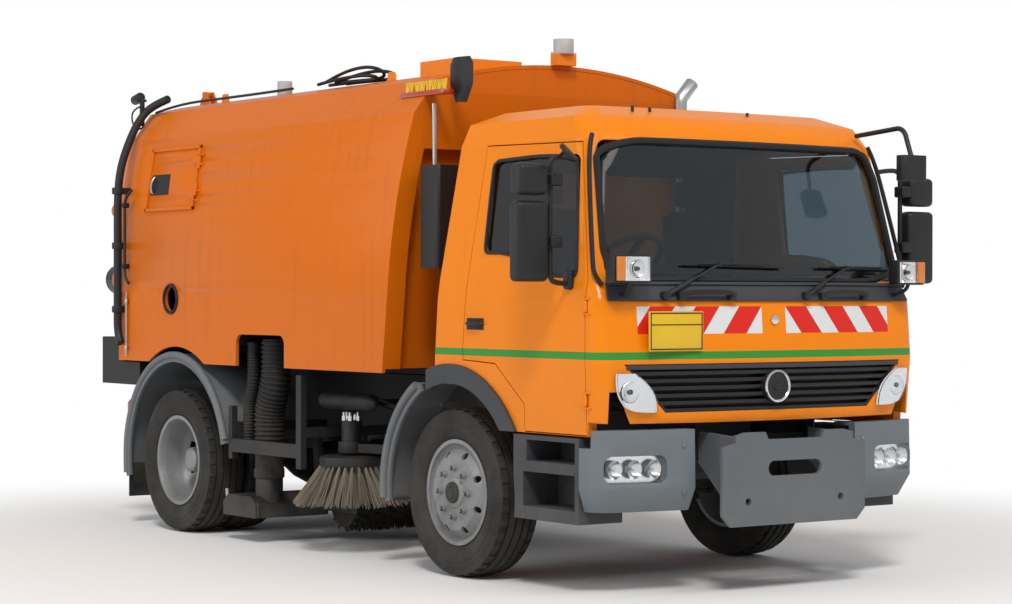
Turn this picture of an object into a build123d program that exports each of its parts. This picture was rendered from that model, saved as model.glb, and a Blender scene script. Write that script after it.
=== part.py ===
from build123d import *
import math
import os

# Street sweeper truck: two-axle tilt-cab chassis with a tipping hopper, a suction nozzle with its
# hoses, a side brush on a swing arm and a cross roller brush. Millimetres, +Z up, ground at z = 0.
# The front faces -Y; the vehicle's right side is -X. Distances along the vehicle are given behind
# the front axle ("aft"), because axle, cab and body positions are all set out from it.

# ---- driving dimensions --------------------------------------------------------------------------
wheelbase = 3260
front_overhang = 1607          # front axle to the attachment plate's face
rear_overhang = 1230           # rear axle to the furthest cap on the tailgate
front_axle_y = (front_overhang - wheelbase - rear_overhang) / 2

tyre_radius = 478
tyre_width = 276
rim_seat_radius = 286          # 22.5 inch wheel
rim_flange_radius = 299
front_wheel_x = 986            # middle of a front tyre
rear_wheel_x = 1017            # middle of an outer rear tyre
twin_spacing = 310
hub_bolt_circle = 275
hub_bolts = 8

seat_gap = 0.3                 # between pieces that rest on each other
run_gap = 6                    # between pieces that move past each other
panel_gap = 6                  # round doors and lids

rail_outer_x = 430             # ladder frame
rail_flange = 70
rail_web = 9
rail_bottom = 690
rail_top = 940
subframe_top = 1085

cab_wall = 50
cab_pivot_aft = -1470
cab_pivot_z = 800
door_hinge_aft = -1250
waist_half_width = 1140

skin = 22                      # hopper plate with its inner ribs
hopper_half_width = 1150
hopper_front_aft = 500
hopper_rear_aft = wheelbase + 840
hopper_bottom = 1130
hopper_floor_z = 1262
hopper_pivot_aft = wheelbase + 890
hopper_pivot_z = 1050
hopper_roof_z = 2972
pivot_pin_radius = 28

ram_pivot_aft = wheelbase - 2010
ram_pivot_z = 862
ram_eye_aft = wheelbase - 660
ram_eye_z = 1120
ram_radius = 58
ram_rod_radius = 34
ram_pin_radius = 28

brush_arm_x = -510
brush_arm_aft = 760
brush_x = -860
brush_aft = 1500
brush_plate_z = 590
brush_tip_z = 280
brush_radius = 370

roller_aft = wheelbase - 1140
roller_z = 245
roller_radius = 200

os.makedirs("parts", exist_ok=True)


def aft(distance):
    """y of a point that lies this far behind the front axle."""
    return front_axle_y + distance


def keep(builder, node):
    builder.part.label = node
    export_step(builder.part, f"parts/{node}.step")


def side_plane(x):
    """Sketch plane across the vehicle at x: first axis towards the rear, second up."""
    return Plane(origin=(x, front_axle_y, 0), x_dir=(0, 1, 0), z_dir=(1, 0, 0))


def front_plane(distance):
    """Sketch plane seen from the rear: first axis towards -X, second up, normal to the rear."""
    return Plane(origin=(0, aft(distance), 0), x_dir=(-1, 0, 0), z_dir=(0, 1, 0))


def wheel_plane(x, axle_aft):
    """Sketch plane through a wheel's axis: first axis along +X, second up from the axis."""
    return Plane(origin=(x, aft(axle_aft), tyre_radius), x_dir=(1, 0, 0), z_dir=(0, -1, 0))


def wheel_axis(axle_aft):
    return Axis((0, aft(axle_aft), tyre_radius), (1, 0, 0))


def rod_plane(start, end):
    """Plane at start whose normal points to end."""
    return Plane(origin=start, z_dir=Vector(*end) - Vector(*start))


# ---- frame ---------------------------------------------------------------------------------------
frame_front_aft = -1290
frame_rear_aft = wheelbase + 820
# distance behind the front axle, lowest z, highest z, depth along the frame
crossmembers = (
    (-1180, 700, 830, 90),
    (950, 745, 860, 80),
    (wheelbase - 830, 740, 880, 80),
    (wheelbase + 640, 720, 900, 90),
)

with BuildPart() as chassis_frame:
    for side in (-1, 1):
        outer = side * rail_outer_x
        inner = side * (rail_outer_x - rail_flange)
        web_inside = side * (rail_outer_x - rail_web)
        with BuildSketch(Plane.XZ.offset(-aft(frame_front_aft))):
            with BuildLine():
                Polyline(
                    (outer, rail_bottom), (outer, rail_top), (inner, rail_top),
                    (inner, rail_top - rail_web), (web_inside, rail_top - rail_web),
                    (web_inside, rail_bottom + rail_web), (inner, rail_bottom + rail_web),
                    (inner, rail_bottom), close=True,
                )
            make_face()
        extrude(amount=-(frame_rear_aft - frame_front_aft))
    for distance, low, high, depth in crossmembers:
        with BuildSketch(Plane.XY.offset(low)):
            with Locations((0, aft(distance))):
                Rectangle(2 * (rail_outer_x - rail_web - seat_gap), depth)
        extrude(amount=high - low)
    # cross tube that the tipping ram turns on
    with BuildSketch(side_plane(-rail_outer_x + rail_web + seat_gap)):
        with Locations((ram_pivot_aft, ram_pivot_z)):
            Circle(ram_pin_radius)
    extrude(amount=2 * (rail_outer_x - rail_web - seat_gap))
keep(chassis_frame, "chassis_frame")

# The body frame lies on the rails and carries the hopper's hinge pins in two ears at its rear end.
subframe_front_aft = 420
subframe_cross_afts = (470, 1100, wheelbase + 40)
ear_width = 45
rail_mid_x = rail_outer_x - rail_flange / 2
with BuildPart() as subframe:
    for side in (-1, 1):
        with BuildSketch(Plane.XY.offset(rail_top + seat_gap)):
            with Locations((side * rail_mid_x, aft((subframe_front_aft + frame_rear_aft) / 2))):
                Rectangle(rail_flange, frame_rear_aft - subframe_front_aft)
        extrude(amount=subframe_top - rail_top - seat_gap)
        with BuildSketch(side_plane(side * rail_mid_x - ear_width / 2)):
            with BuildLine():
                Polyline(
                    (frame_rear_aft - 240, rail_top + 20), (frame_rear_aft - 240, subframe_top - 5),
                    (hopper_pivot_aft - 58, subframe_top - 5), (hopper_pivot_aft - 40, hopper_pivot_z + 55),
                    (hopper_pivot_aft + 40, hopper_pivot_z + 55), (hopper_pivot_aft + 58, hopper_pivot_z + 20),
                    (hopper_pivot_aft + 58, hopper_pivot_z - 50), (frame_rear_aft, rail_top + 20), close=True,
                )
            make_face()
        extrude(amount=ear_width)
        with BuildSketch(side_plane(side * rail_mid_x)):
            with Locations((hopper_pivot_aft, hopper_pivot_z)):
                Circle(pivot_pin_radius)
        extrude(amount=side * (rail_outer_x + 70 - rail_mid_x))
    for distance in subframe_cross_afts:
        with BuildSketch(Plane.XY.offset(rail_top + 10)):
            with Locations((0, aft(distance))):
                Rectangle(2 * (rail_outer_x - rail_flange - seat_gap), 70)
        extrude(amount=70)
keep(subframe, "subframe")

# ---- axles, springs and steering -----------------------------------------------------------------
kingpin_x = 800
kingpin_radius = 20
axle_beam_half = 62
spring_x = rail_outer_x - rail_flange / 2
spring_width = 64
spring_half_span = 780
spring_thickness = 44
front_pad_z = 492
rear_pad_z = 568
steer_arm_aft = 190            # tie rod behind the kingpins
steer_arm_z = 395
tie_pin_radius = 12
spindle_radius = 34
rear_shaft_radius = 48
rear_shaft_end = rear_wheel_x - twin_spacing / 2 + 8


# One leaf pack each side of each axle, bowed down to its axle pad, with a hanger block over each end.
with BuildPart() as leaf_springs:
    for axle_aft, pad_z, bow in ((0, front_pad_z, 95), (wheelbase, rear_pad_z, 60)):
        eye_z = pad_z + bow
        top_z = eye_z + spring_thickness
        fore = axle_aft - spring_half_span
        back = axle_aft + spring_half_span
        for side in (-1, 1):
            with BuildSketch(side_plane(side * spring_x - spring_width / 2)):
                with BuildLine():
                    ThreePointArc((fore, eye_z), (axle_aft, pad_z), (back, eye_z))
                    Line((back, eye_z), (back, top_z))
                    ThreePointArc((back, top_z), (axle_aft, pad_z + spring_thickness), (fore, top_z))
                    Line((fore, top_z), (fore, eye_z))
                make_face()
                for end in (-1, 1):
                    with Locations((axle_aft + end * (spring_half_span - 30), (top_z + rail_bottom) / 2)):
                        Rectangle(90, rail_bottom - top_z - 2 * seat_gap)
            extrude(amount=spring_width)
keep(leaf_springs, "leaf_springs")

with BuildPart() as front_axle:
    with BuildSketch(Plane.XZ.offset(-aft(-axle_beam_half / 2))):
        with BuildLine():
            Polyline(
                (-kingpin_x + 20, tyre_radius - 45), (-620, tyre_radius - 45), (-520, 395), (520, 395),
                (620, tyre_radius - 45), (kingpin_x - 20, tyre_radius - 45), (kingpin_x - 20, tyre_radius + 45),
                (600, tyre_radius + 45), (spring_x + 60, front_pad_z - seat_gap),
                (-spring_x - 60, front_pad_z - seat_gap), (-600, tyre_radius + 45),
                (-kingpin_x + 20, tyre_radius + 45), close=True,
            )
        make_face()
    extrude(amount=-axle_beam_half)
    for side in (-1, 1):
        with BuildSketch(Plane.XY.offset(tyre_radius - 45)):
            with Locations((side * kingpin_x, aft(0))):
                Circle(36)
        extrude(amount=90)
        with BuildSketch(Plane.XY.offset(tyre_radius - 95)):
            with Locations((side * kingpin_x, aft(0))):
                Circle(kingpin_radius)
        extrude(amount=190)
keep(front_axle, "front_axle")

with BuildPart() as rear_axle:
    with BuildSketch(wheel_plane(0, wheelbase)):
        with BuildLine():
            Polyline((-640, 0), (-640, 62), (-300, 78), (-210, 150), (-120, 195), (120, 195), (210, 150),
                     (300, 78), (640, 62), (640, 0), close=True)
        make_face()
    revolve(axis=wheel_axis(wheelbase))
    with BuildSketch(Plane(origin=(0, aft(wheelbase - 330), tyre_radius + 20), z_dir=(0, 1, 0))):
        Circle(75)
    with BuildSketch(Plane(origin=(0, aft(wheelbase - 120), tyre_radius), z_dir=(0, 1, 0))):
        Circle(150)
    loft()
    for side in (-1, 1):
        with BuildSketch(Plane.XY.offset(tyre_radius)):
            with Locations((side * spring_x, aft(wheelbase))):
                Rectangle(spring_width + 10, 130)
        extrude(amount=rear_pad_z - seat_gap - tyre_radius)
    with BuildSketch(Plane(origin=(-rear_shaft_end, aft(wheelbase), tyre_radius), z_dir=(1, 0, 0))):
        Circle(rear_shaft_radius)
    extrude(amount=2 * rear_shaft_end)
keep(rear_axle, "rear_axle")

# Knuckle: a yoke round the kingpin, the stub axle and the steering arm that reaches the tie rod.
spindle_length = 150
for side, name in ((-1, "right"), (1, "left")):
    with BuildPart() as knuckle:
        with BuildSketch(Plane.XY.offset(tyre_radius - 92)):
            with Locations((side * kingpin_x, aft(0))):
                Circle(40)
        extrude(amount=40)
        with BuildSketch(Plane.XY.offset(tyre_radius + 52)):
            with Locations((side * kingpin_x, aft(0))):
                Circle(40)
        extrude(amount=40)
        with BuildSketch(Plane.XY.offset(tyre_radius - 92)):
            with Locations((side * (kingpin_x + 70), aft(0))):
                Rectangle(50, 80)
        extrude(amount=184)
        for low in (tyre_radius - 92, tyre_radius + 52):
            with BuildSketch(Plane.XY.offset(low)):
                with Locations((side * (kingpin_x + 40), aft(0))):
                    Rectangle(70, 70)
            extrude(amount=40)
        with BuildSketch(Plane(origin=(side * (kingpin_x + 80), aft(0), tyre_radius), z_dir=(side, 0, 0))):
            Circle(spindle_radius)
        extrude(amount=spindle_length)
        with BuildSketch(Plane.XY.offset(tyre_radius - 92)):
            with BuildLine():
                Polyline(
                    (side * (kingpin_x - 30), aft(10)), (side * (kingpin_x + 30), aft(10)),
                    (side * (kingpin_x + 14), aft(steer_arm_aft + 30)),
                    (side * (kingpin_x - 30), aft(steer_arm_aft + 30)), close=True,
                )
            make_face()
        extrude(amount=22)
        with BuildSketch(Plane.XY.offset(tyre_radius - 140)):
            with Locations((side * kingpin_x, aft(steer_arm_aft))):
                Circle(tie_pin_radius)
        extrude(amount=60)
        with BuildSketch(Plane.XY.offset(tyre_radius - 100)):
            with Locations((side * kingpin_x, aft(0))):
                Circle(kingpin_radius + seat_gap)
        extrude(amount=200, mode=Mode.SUBTRACT)
    keep(knuckle, f"knuckle_{name}")

with BuildPart() as tie_rod:
    with BuildSketch(Plane(origin=(-kingpin_x + 18, aft(steer_arm_aft), tyre_radius - 122), z_dir=(1, 0, 0))):
        Circle(14)
    extrude(amount=2 * kingpin_x - 36)
    for side in (-1, 1):
        with BuildSketch(Plane.XY.offset(tyre_radius - 138)):
            with Locations((side * kingpin_x, aft(steer_arm_aft))):
                Circle(26)
        extrude(amount=34)
        with BuildSketch(Plane.XY.offset(tyre_radius - 150)):
            with Locations((side * kingpin_x, aft(steer_arm_aft))):
                Circle(tie_pin_radius + seat_gap)
        extrude(amount=60, mode=Mode.SUBTRACT)
keep(tie_rod, "tie_rod")

# ---- wheels --------------------------------------------------------------------------------------
bead_radius = rim_seat_radius + seat_gap
tread_half = tyre_width / 2 - 14
bead_half = 100


def tyre_section(middle):
    """Half section of a tyre across its width, radius upwards."""
    half = [
        (bead_half, bead_radius), (bead_half, rim_flange_radius + 1), (tyre_width / 2 - 12, tyre_radius - 138),
        (tyre_width / 2, tyre_radius - 92), (tyre_width / 2 - 4, tyre_radius - 42), (tread_half, tyre_radius - 10),
        (tread_half - 45, tyre_radius),
    ]
    with BuildSketch() as section:
        with BuildLine():
            Polyline(*[(middle - x, r) for x, r in half], *[(middle + x, r) for x, r in half[::-1]], close=True)
        make_face()
    return section.sketch


# rim section, worked outwards from the middle of the tyre on the side that faces out: x, radius
def rim_outline(middle, out, disc_x, hub_radius):
    """A drop-centre rim whose disc meets the hub at disc_x; out is +1 or -1 along x."""
    flange = bead_half + 14
    wall = 9
    points = [
        (flange, rim_flange_radius), (bead_half + 1, rim_flange_radius - 3), (bead_half + 1, rim_seat_radius),
        (-bead_half - 1, rim_seat_radius), (-bead_half - 1, rim_flange_radius - 3), (-flange, rim_flange_radius),
        (-flange, rim_seat_radius - wall), (-60, rim_seat_radius - 2 * wall - 6),
        (40, rim_seat_radius - 2 * wall - 6),
    ]
    local = [(middle + out * x, r) for x, r in points]
    disc = [
        (disc_x - out * 8, 205), (disc_x - out * 8, hub_radius), (disc_x + out * 8, hub_radius),
        (disc_x + out * 8, 212), (middle + out * (bead_half - 20), rim_seat_radius - 2 * wall - 8),
        (middle + out * (bead_half + 2), rim_seat_radius - wall), (middle + out * flange, rim_seat_radius - wall),
    ]
    return local + disc


hub_inner = spindle_radius + seat_gap
shaft_inner = rear_shaft_radius + seat_gap
for side, name in ((-1, "right"), (1, "left")):
    # front: one tyre, disc bulging outwards to the nut ring
    with BuildPart() as front_tyre:
        with BuildSketch(wheel_plane(0, 0)):
            add(tyre_section(side * front_wheel_x))
        revolve(axis=wheel_axis(0))
    keep(front_tyre, f"front_tyre_{name}")

    disc_x = side * (front_wheel_x + 118)
    with BuildPart() as front_rim:
        with BuildSketch(wheel_plane(0, 0)):
            with BuildLine():
                Polyline(*rim_outline(side * front_wheel_x, side, disc_x, 60), close=True)
            make_face()
        revolve(axis=wheel_axis(0))
        # hub with its drum behind the disc, and the cap in the middle
        with BuildSketch(wheel_plane(0, 0)):
            with BuildLine():
                Polyline(
                    (disc_x - side * 6, hub_inner), (disc_x - side * 6, 150), (disc_x - side * 60, 160),
                    (disc_x - side * 150, 168), (disc_x - side * 150, hub_inner), close=True,
                )
            make_face()
            with BuildLine():
                Polyline(
                    (disc_x - side * 6, 0), (disc_x - side * 6, 62), (disc_x + side * 8, 90),
                    (disc_x + side * 14, 88), (disc_x + side * 20, 70), (disc_x + side * 20, 0), close=True,
                )
            make_face()
        revolve(axis=wheel_axis(0))
        with BuildSketch(wheel_plane(0, 0)):
            with BuildLine():
                Polyline((disc_x - side * 100, 0), (disc_x - side * 100, hub_inner),
                         (disc_x - side * 6, hub_inner), (disc_x - side * 6, 0), close=True)
            make_face()
        revolve(axis=wheel_axis(0), mode=Mode.SUBTRACT)
        with BuildSketch(Plane(origin=(disc_x, aft(0), tyre_radius), z_dir=(side, 0, 0))):
            with PolarLocations(hub_bolt_circle / 2, hub_bolts):
                Circle(17)
        extrude(amount=32)
        with BuildSketch(Plane(origin=(disc_x - side * 60, aft(0), tyre_radius), z_dir=(side, 0, 0))):
            with PolarLocations(222, hub_bolts, start_angle=22.5):
                Circle(20)
        extrude(amount=120, mode=Mode.SUBTRACT)
    keep(front_rim, f"front_rim_{name}")

    # rear: twin tyres on two rims whose discs meet back to back
    inner_x = rear_wheel_x - twin_spacing
    with BuildPart() as rear_tyres:
        with BuildSketch(wheel_plane(0, wheelbase)):
            add(tyre_section(side * rear_wheel_x))
            add(tyre_section(side * inner_x))
        revolve(axis=wheel_axis(wheelbase))
    keep(rear_tyres, f"rear_tyres_{name}")

    meet_x = side * (rear_wheel_x - twin_spacing / 2)
    with BuildPart() as rear_rims:
        with BuildSketch(wheel_plane(0, wheelbase)):
            with BuildLine():
                Polyline(*rim_outline(side * rear_wheel_x, -side, meet_x + side * 8, 60), close=True)
            make_face()
            with BuildLine():
                Polyline(*rim_outline(side * inner_x, side, meet_x - side * 8, 60), close=True)
            make_face()
            with BuildLine():
                Polyline(
                    (meet_x + side * 14, 0), (meet_x + side * 14, 105), (meet_x + side * 50, 100),
                    (meet_x + side * 175, 78), (meet_x + side * 185, 60), (meet_x + side * 185, 0), close=True,
                )
            make_face()
            with BuildLine():
                Polyline(
                    (meet_x - side * 14, shaft_inner), (meet_x - side * 14, 180), (meet_x - side * 170, 190),
                    (meet_x - side * 170, shaft_inner), close=True,
                )
            make_face()
            with BuildLine():
                Polyline((meet_x - side * 16, shaft_inner), (meet_x - side * 16, 64), (meet_x + side * 16, 64),
                         (meet_x + side * 16, shaft_inner), close=True)
            make_face()
        revolve(axis=wheel_axis(wheelbase))
        with BuildSketch(Plane(origin=(meet_x + side * 10, aft(wheelbase), tyre_radius), z_dir=(side, 0, 0))):
            with PolarLocations(hub_bolt_circle / 2, hub_bolts):
                Circle(17)
        extrude(amount=40)
        with BuildSketch(Plane(origin=(meet_x - side * 60, aft(wheelbase), tyre_radius), z_dir=(side, 0, 0))):
            with PolarLocations(230, hub_bolts, start_angle=22.5):
                Circle(24)
        extrude(amount=120, mode=Mode.SUBTRACT)
    keep(rear_rims, f"rear_rims_{name}")

# ---- cab -----------------------------------------------------------------------------------------
# Plan sections of the cab: height, half width, then how far behind the front axle its bowed front
# lies at the centre and at the corners, and its rear wall.
cab_sections = (
    (850, 1125, -1425, -1340, 215),
    (1240, 1140, -1450, -1362, 185),
    (1560, 1140, -1425, -1335, 158),
    (1670, 1132, -1372, -1285, 148),
    (2425, 1042, -1192, -1112, 62),
    (2545, 1000, -1105, -1035, 38),
    (2612, 850, -930, -880, -90),
)
cab_corner_radius = 95
cab_rear_radius = 40
cab_floor_z = 1135
arch_radius = 612              # wheel opening in the cab and its flare
flare_band = 112
flare_top_aft = 235


def cab_volume(inset, floor_z=None):
    """The cab's outer form drawn in by inset all round, and cut off below floor_z."""
    with BuildPart() as volume:
        for number, (height, half_width, centre, corner, rear) in enumerate(cab_sections):
            last = number == len(cab_sections) - 1
            level = height - inset if last else height
            half = half_width - inset
            with BuildSketch(Plane.XY.offset(level)) as outline:
                with BuildLine():
                    Polyline(
                        (-half, aft(corner + inset)), (-half, aft(rear - inset)),
                        (half, aft(rear - inset)), (half, aft(corner + inset)),
                    )
                    ThreePointArc(
                        (half, aft(corner + inset)), (0, aft(centre + inset)), (-half, aft(corner + inset))
                    )
                make_face()
                fillet(outline.vertices().group_by(Axis.Y)[0], cab_corner_radius - inset / 2)
                fillet(outline.vertices().group_by(Axis.Y)[-1], cab_rear_radius - inset / 2)
        loft(ruled=True)
        if floor_z:
            split(bisect_by=Plane.XY.offset(floor_z), keep=Keep.TOP)
    return volume.part


# side outline of a door: distance behind the front axle, height
door_sill_z = 852
door_front_foot = (door_hinge_aft + 2, door_sill_z)
door_outline = (
    door_front_foot, (-690, door_sill_z), (-690, 1000), (-430, 1210), (-118, 1224), (-118, 1290),
    (-222, 2418), (-1085, 2402), (door_hinge_aft + 2, 1672),
)
window_outline = (
    (-300, 1822), (-305, 2338), (-1085, 2335), (-1170, 1672), (-800, 1712), (-640, 1800),
)
windscreen_half_foot = 1050
windscreen_half_top = 985
windscreen_foot_z = 1668
windscreen_top_z = 2412
grille_top_z = 1228
grille_foot_z = 972
grille_half_top = 990
grille_half_foot = 725
rear_window_half = 620
rear_window_height = 560
rear_window_z = 2010
# hinge pins at the doors' front edges: lower end of each knuckle
hinge_heights = (1010, 1500)
hinge_length = 60
hinge_radius = 11
hinge_pin_radius = 5
hinge_pocket = 16

cab_outer = cab_volume(0)
cab_clearance = cab_volume(-seat_gap)
with BuildPart() as cab_wall_skin:
    add(cab_outer)
    add(cab_volume(cab_wall), mode=Mode.SUBTRACT)
# panes lie 12 to 18 mm inside the cab's outer face
glass_inset = 12
glass_thickness = 6
with BuildPart() as cab_glass_skin:
    add(cab_volume(glass_inset))
    add(cab_volume(glass_inset + glass_thickness), mode=Mode.SUBTRACT)

with BuildPart() as cab_shell:
    add(cab_outer)
    add(cab_volume(cab_wall, cab_floor_z), mode=Mode.SUBTRACT)
    # under the floor the cab is open over the engine and the frame, between its side sills
    with BuildSketch(Plane.XY.offset(840)):
        with Locations((0, aft(-560))):
            Rectangle(2 * (waist_half_width - cab_wall - 20), 1620)
    extrude(amount=cab_floor_z - cab_wall - 840, mode=Mode.SUBTRACT)
    # wheel openings, and the lower edge in front of and behind the doors
    with BuildSketch(side_plane(-1200)):
        with Locations((0, tyre_radius)):
            Circle(arch_radius)
        with BuildLine():
            Polyline((-1600, 800), (-1600, 900), (door_hinge_aft - panel_gap, 928), (door_hinge_aft, 800), close=True)
        make_face()
        with BuildLine():
            Polyline((-200, 800), (-200, 1090), (320, 1090), (320, 800), close=True)
        make_face()
    extrude(amount=2400, mode=Mode.SUBTRACT)
    # doorways
    for side in (-1, 1):
        with BuildSketch(side_plane(side * 1200)):
            with BuildLine():
                Polyline(*door_outline, close=True)
            make_face()
        extrude(amount=-side * 330, mode=Mode.SUBTRACT)
    # windscreen, grille opening and rear window
    with BuildSketch(front_plane(-1600)) as front_openings:
        with BuildLine():
            Polyline(
                (-windscreen_half_foot, windscreen_foot_z), (windscreen_half_foot, windscreen_foot_z),
                (windscreen_half_top, windscreen_top_z), (-windscreen_half_top, windscreen_top_z), close=True,
            )
        make_face()
        fillet(front_openings.vertices(), 70)
        with BuildLine():
            Polyline(
                (-grille_half_foot, grille_foot_z), (grille_half_foot, grille_foot_z),
                (grille_half_top, grille_top_z), (-grille_half_top, grille_top_z), close=True,
            )
        make_face()
    extrude(amount=700, mode=Mode.SUBTRACT)
    with BuildSketch(front_plane(-100)):
        with Locations((0, rear_window_z)):
            RectangleRounded(2 * rear_window_half, rear_window_height, 60)
    extrude(amount=400, mode=Mode.SUBTRACT)
    # hinge pins for the doors, each held above and below its pocket
    for side in (-1, 1):
        for low in hinge_heights:
            with BuildSketch(Plane.XY.offset(low - 5)):
                with Locations((side * waist_half_width, aft(door_hinge_aft))):
                    Circle(hinge_pocket)
            extrude(amount=hinge_length + 10, mode=Mode.SUBTRACT)
            for foot in (low - 14, low + hinge_length + 5):
                with BuildSketch(Plane.XY.offset(foot)):
                    with Locations((side * (waist_half_width - 10), aft(door_hinge_aft - 16))):
                        Rectangle(32, 42)
                extrude(amount=9)
            with BuildSketch(Plane.XY.offset(low - 10)):
                with Locations((side * waist_half_width, aft(door_hinge_aft))):
                    Circle(hinge_pin_radius)
            extrude(amount=hinge_length + 20)
keep(cab_shell, "cab_shell")

# windscreen and rear window
with BuildPart() as windscreen:
    add(cab_glass_skin.part)
    with BuildSketch(front_plane(-1600)) as pane:
        with BuildLine():
            Polyline(
                (-windscreen_half_foot, windscreen_foot_z), (windscreen_half_foot, windscreen_foot_z),
                (windscreen_half_top, windscreen_top_z), (-windscreen_half_top, windscreen_top_z), close=True,
            )
        make_face()
        fillet(pane.vertices(), 70)
        offset(amount=-seat_gap, mode=Mode.REPLACE)
    extrude(amount=700, mode=Mode.INTERSECT)
with BuildPart() as cab_glass:
    add(cab_glass_skin.part)
    with BuildSketch(front_plane(-100)):
        with Locations((0, rear_window_z)):
            RectangleRounded(2 * (rear_window_half - seat_gap), rear_window_height - 2 * seat_gap, 60 - seat_gap)
    extrude(amount=400, mode=Mode.INTERSECT)
    add(windscreen.part)
keep(cab_glass, "cab_glass")

# Doors: the wall inside each doorway less the gap all round, with the window cut out and two
# knuckles on the front edge that turn on the cab's pins.
for side, name in ((-1, "right"), (1, "left")):
    with BuildPart() as door:
        add(cab_wall_skin.part)
        with BuildSketch(side_plane(side * 1200)):
            with BuildLine():
                Polyline(*door_outline, close=True)
            make_face()
            offset(amount=-panel_gap, kind=Kind.INTERSECTION, mode=Mode.REPLACE)
        extrude(amount=-side * 330, mode=Mode.INTERSECT)
        with BuildSketch(side_plane(side * 1200)) as window:
            with BuildLine():
                Polyline(*window_outline, close=True)
            make_face()
            fillet(window.vertices(), 45)
            # clearance round the wheel opening's flare
            with Locations((0, tyre_radius)):
                Circle(arch_radius + flare_band + panel_gap)
        extrude(amount=-side * 330, mode=Mode.SUBTRACT)
        for low in hinge_heights:
            with BuildSketch(Plane.XY.offset(low - 19)):
                with Locations((side * waist_half_width, aft(door_hinge_aft))):
                    Circle(hinge_pocket)
            extrude(amount=hinge_length + 38, mode=Mode.SUBTRACT)
            with BuildSketch(Plane.XY.offset(low)):
                with Locations((side * waist_half_width, aft(door_hinge_aft))):
                    Circle(hinge_radius)
                with Locations((side * (waist_half_width - 6), aft(door_hinge_aft + 22))):
                    Rectangle(12, 44)
                with Locations((side * waist_half_width, aft(door_hinge_aft))):
                    Circle(hinge_pin_radius + seat_gap, mode=Mode.SUBTRACT)
            extrude(amount=hinge_length)
    keep(door, f"door_{name}")
    with BuildPart() as door_glass:
        add(cab_glass_skin.part)
        with BuildSketch(side_plane(side * 1200)) as window:
            with BuildLine():
                Polyline(*window_outline, close=True)
            make_face()
            fillet(window.vertices(), 45)
            offset(amount=-seat_gap, mode=Mode.REPLACE)
        extrude(amount=-side * 330, mode=Mode.INTERSECT)
    keep(door_glass, f"door_glass_{name}")

# Flares round the wheel openings, on the cab; they stand a little proud of its side.
flare_out = 1152
flare_in = 1092
with BuildPart() as wheel_flares:
    for side in (-1, 1):
        with BuildSketch(side_plane(side * flare_in)):
            with Locations((0, tyre_radius)):
                Circle(arch_radius + flare_band)
                Circle(arch_radius + 2, mode=Mode.SUBTRACT)
            with BuildLine():
                Polyline((-900, -300), (900, -300), (900, 850), (-900, 850), close=True)
            make_face(mode=Mode.SUBTRACT)
            with BuildLine():
                Polyline((flare_top_aft, 800), (900, 800), (900, 1300), (flare_top_aft, 1300), close=True)
            make_face(mode=Mode.SUBTRACT)
        extrude(amount=side * (flare_out - flare_in))
    add(cab_shell.part, mode=Mode.SUBTRACT)
keep(wheel_flares, "wheel_flares")

# Grille: slats between two side ends, following the bowed front.
slat_count = 6
slat_height = 20
grille_depth = 42
with BuildPart() as grille:
    add(cab_volume(4))
    add(cab_volume(grille_depth), mode=Mode.SUBTRACT)
    with BuildSketch(front_plane(-1600)):
        with BuildLine():
            Polyline(
                (-grille_half_foot, grille_foot_z), (grille_half_foot, grille_foot_z),
                (grille_half_top, grille_top_z), (-grille_half_top, grille_top_z), close=True,
            )
        make_face()
        offset(amount=-seat_gap, kind=Kind.INTERSECTION, mode=Mode.REPLACE)
    extrude(amount=700, mode=Mode.INTERSECT)
    slot_pitch = (grille_top_z - grille_foot_z - slat_height) / slat_count
    for number in range(slat_count):
        low = grille_foot_z + slat_height + number * slot_pitch
        reach = grille_half_foot + (grille_half_top - grille_half_foot) * (low - grille_foot_z) / (
            grille_top_z - grille_foot_z
        )
        with BuildSketch(front_plane(-1600)):
            with BuildLine():
                Polyline(
                    (-reach + 25, low), (reach - 25, low), (reach - 5, low + slot_pitch - slat_height),
                    (-reach + 5, low + slot_pitch - slat_height), close=True,
                )
            make_face()
        extrude(amount=700, mode=Mode.SUBTRACT)
    with BuildSketch(front_plane(-1458)):
        with Locations((0, 1100)):
            Circle(88)
    extrude(amount=40)
keep(grille, "grille")

# ---- cab interior --------------------------------------------------------------------------------
# seats: middle x, width
seat_places = ((-560, 500), (560, 500))
seat_base_z = 1500
with BuildPart() as seats:
    for middle, width in seat_places:
        with BuildSketch(side_plane(middle - width / 2)):
            with BuildLine():
                Polyline((-640, seat_base_z - 110), (-640, seat_base_z + 20), (-230, seat_base_z - 10),
                         (-130, seat_base_z + 600), (-20, seat_base_z + 600), (-80, seat_base_z - 110), close=True)
            make_face()
        extrude(amount=width)
        with BuildSketch(Plane.XY.offset(cab_floor_z + seat_gap)):
            with Locations((middle, aft(-340))):
                Rectangle(width - 120, 380)
        extrude(amount=seat_base_z - 100 - cab_floor_z)
        with BuildSketch(side_plane(middle - 130)):
            with BuildLine():
                Polyline((-128, seat_base_z + 590), (-115, seat_base_z + 780), (-30, seat_base_z + 780),
                         (-24, seat_base_z + 590), close=True)
            make_face()
        extrude(amount=260)
keep(seats, "seats")

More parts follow.
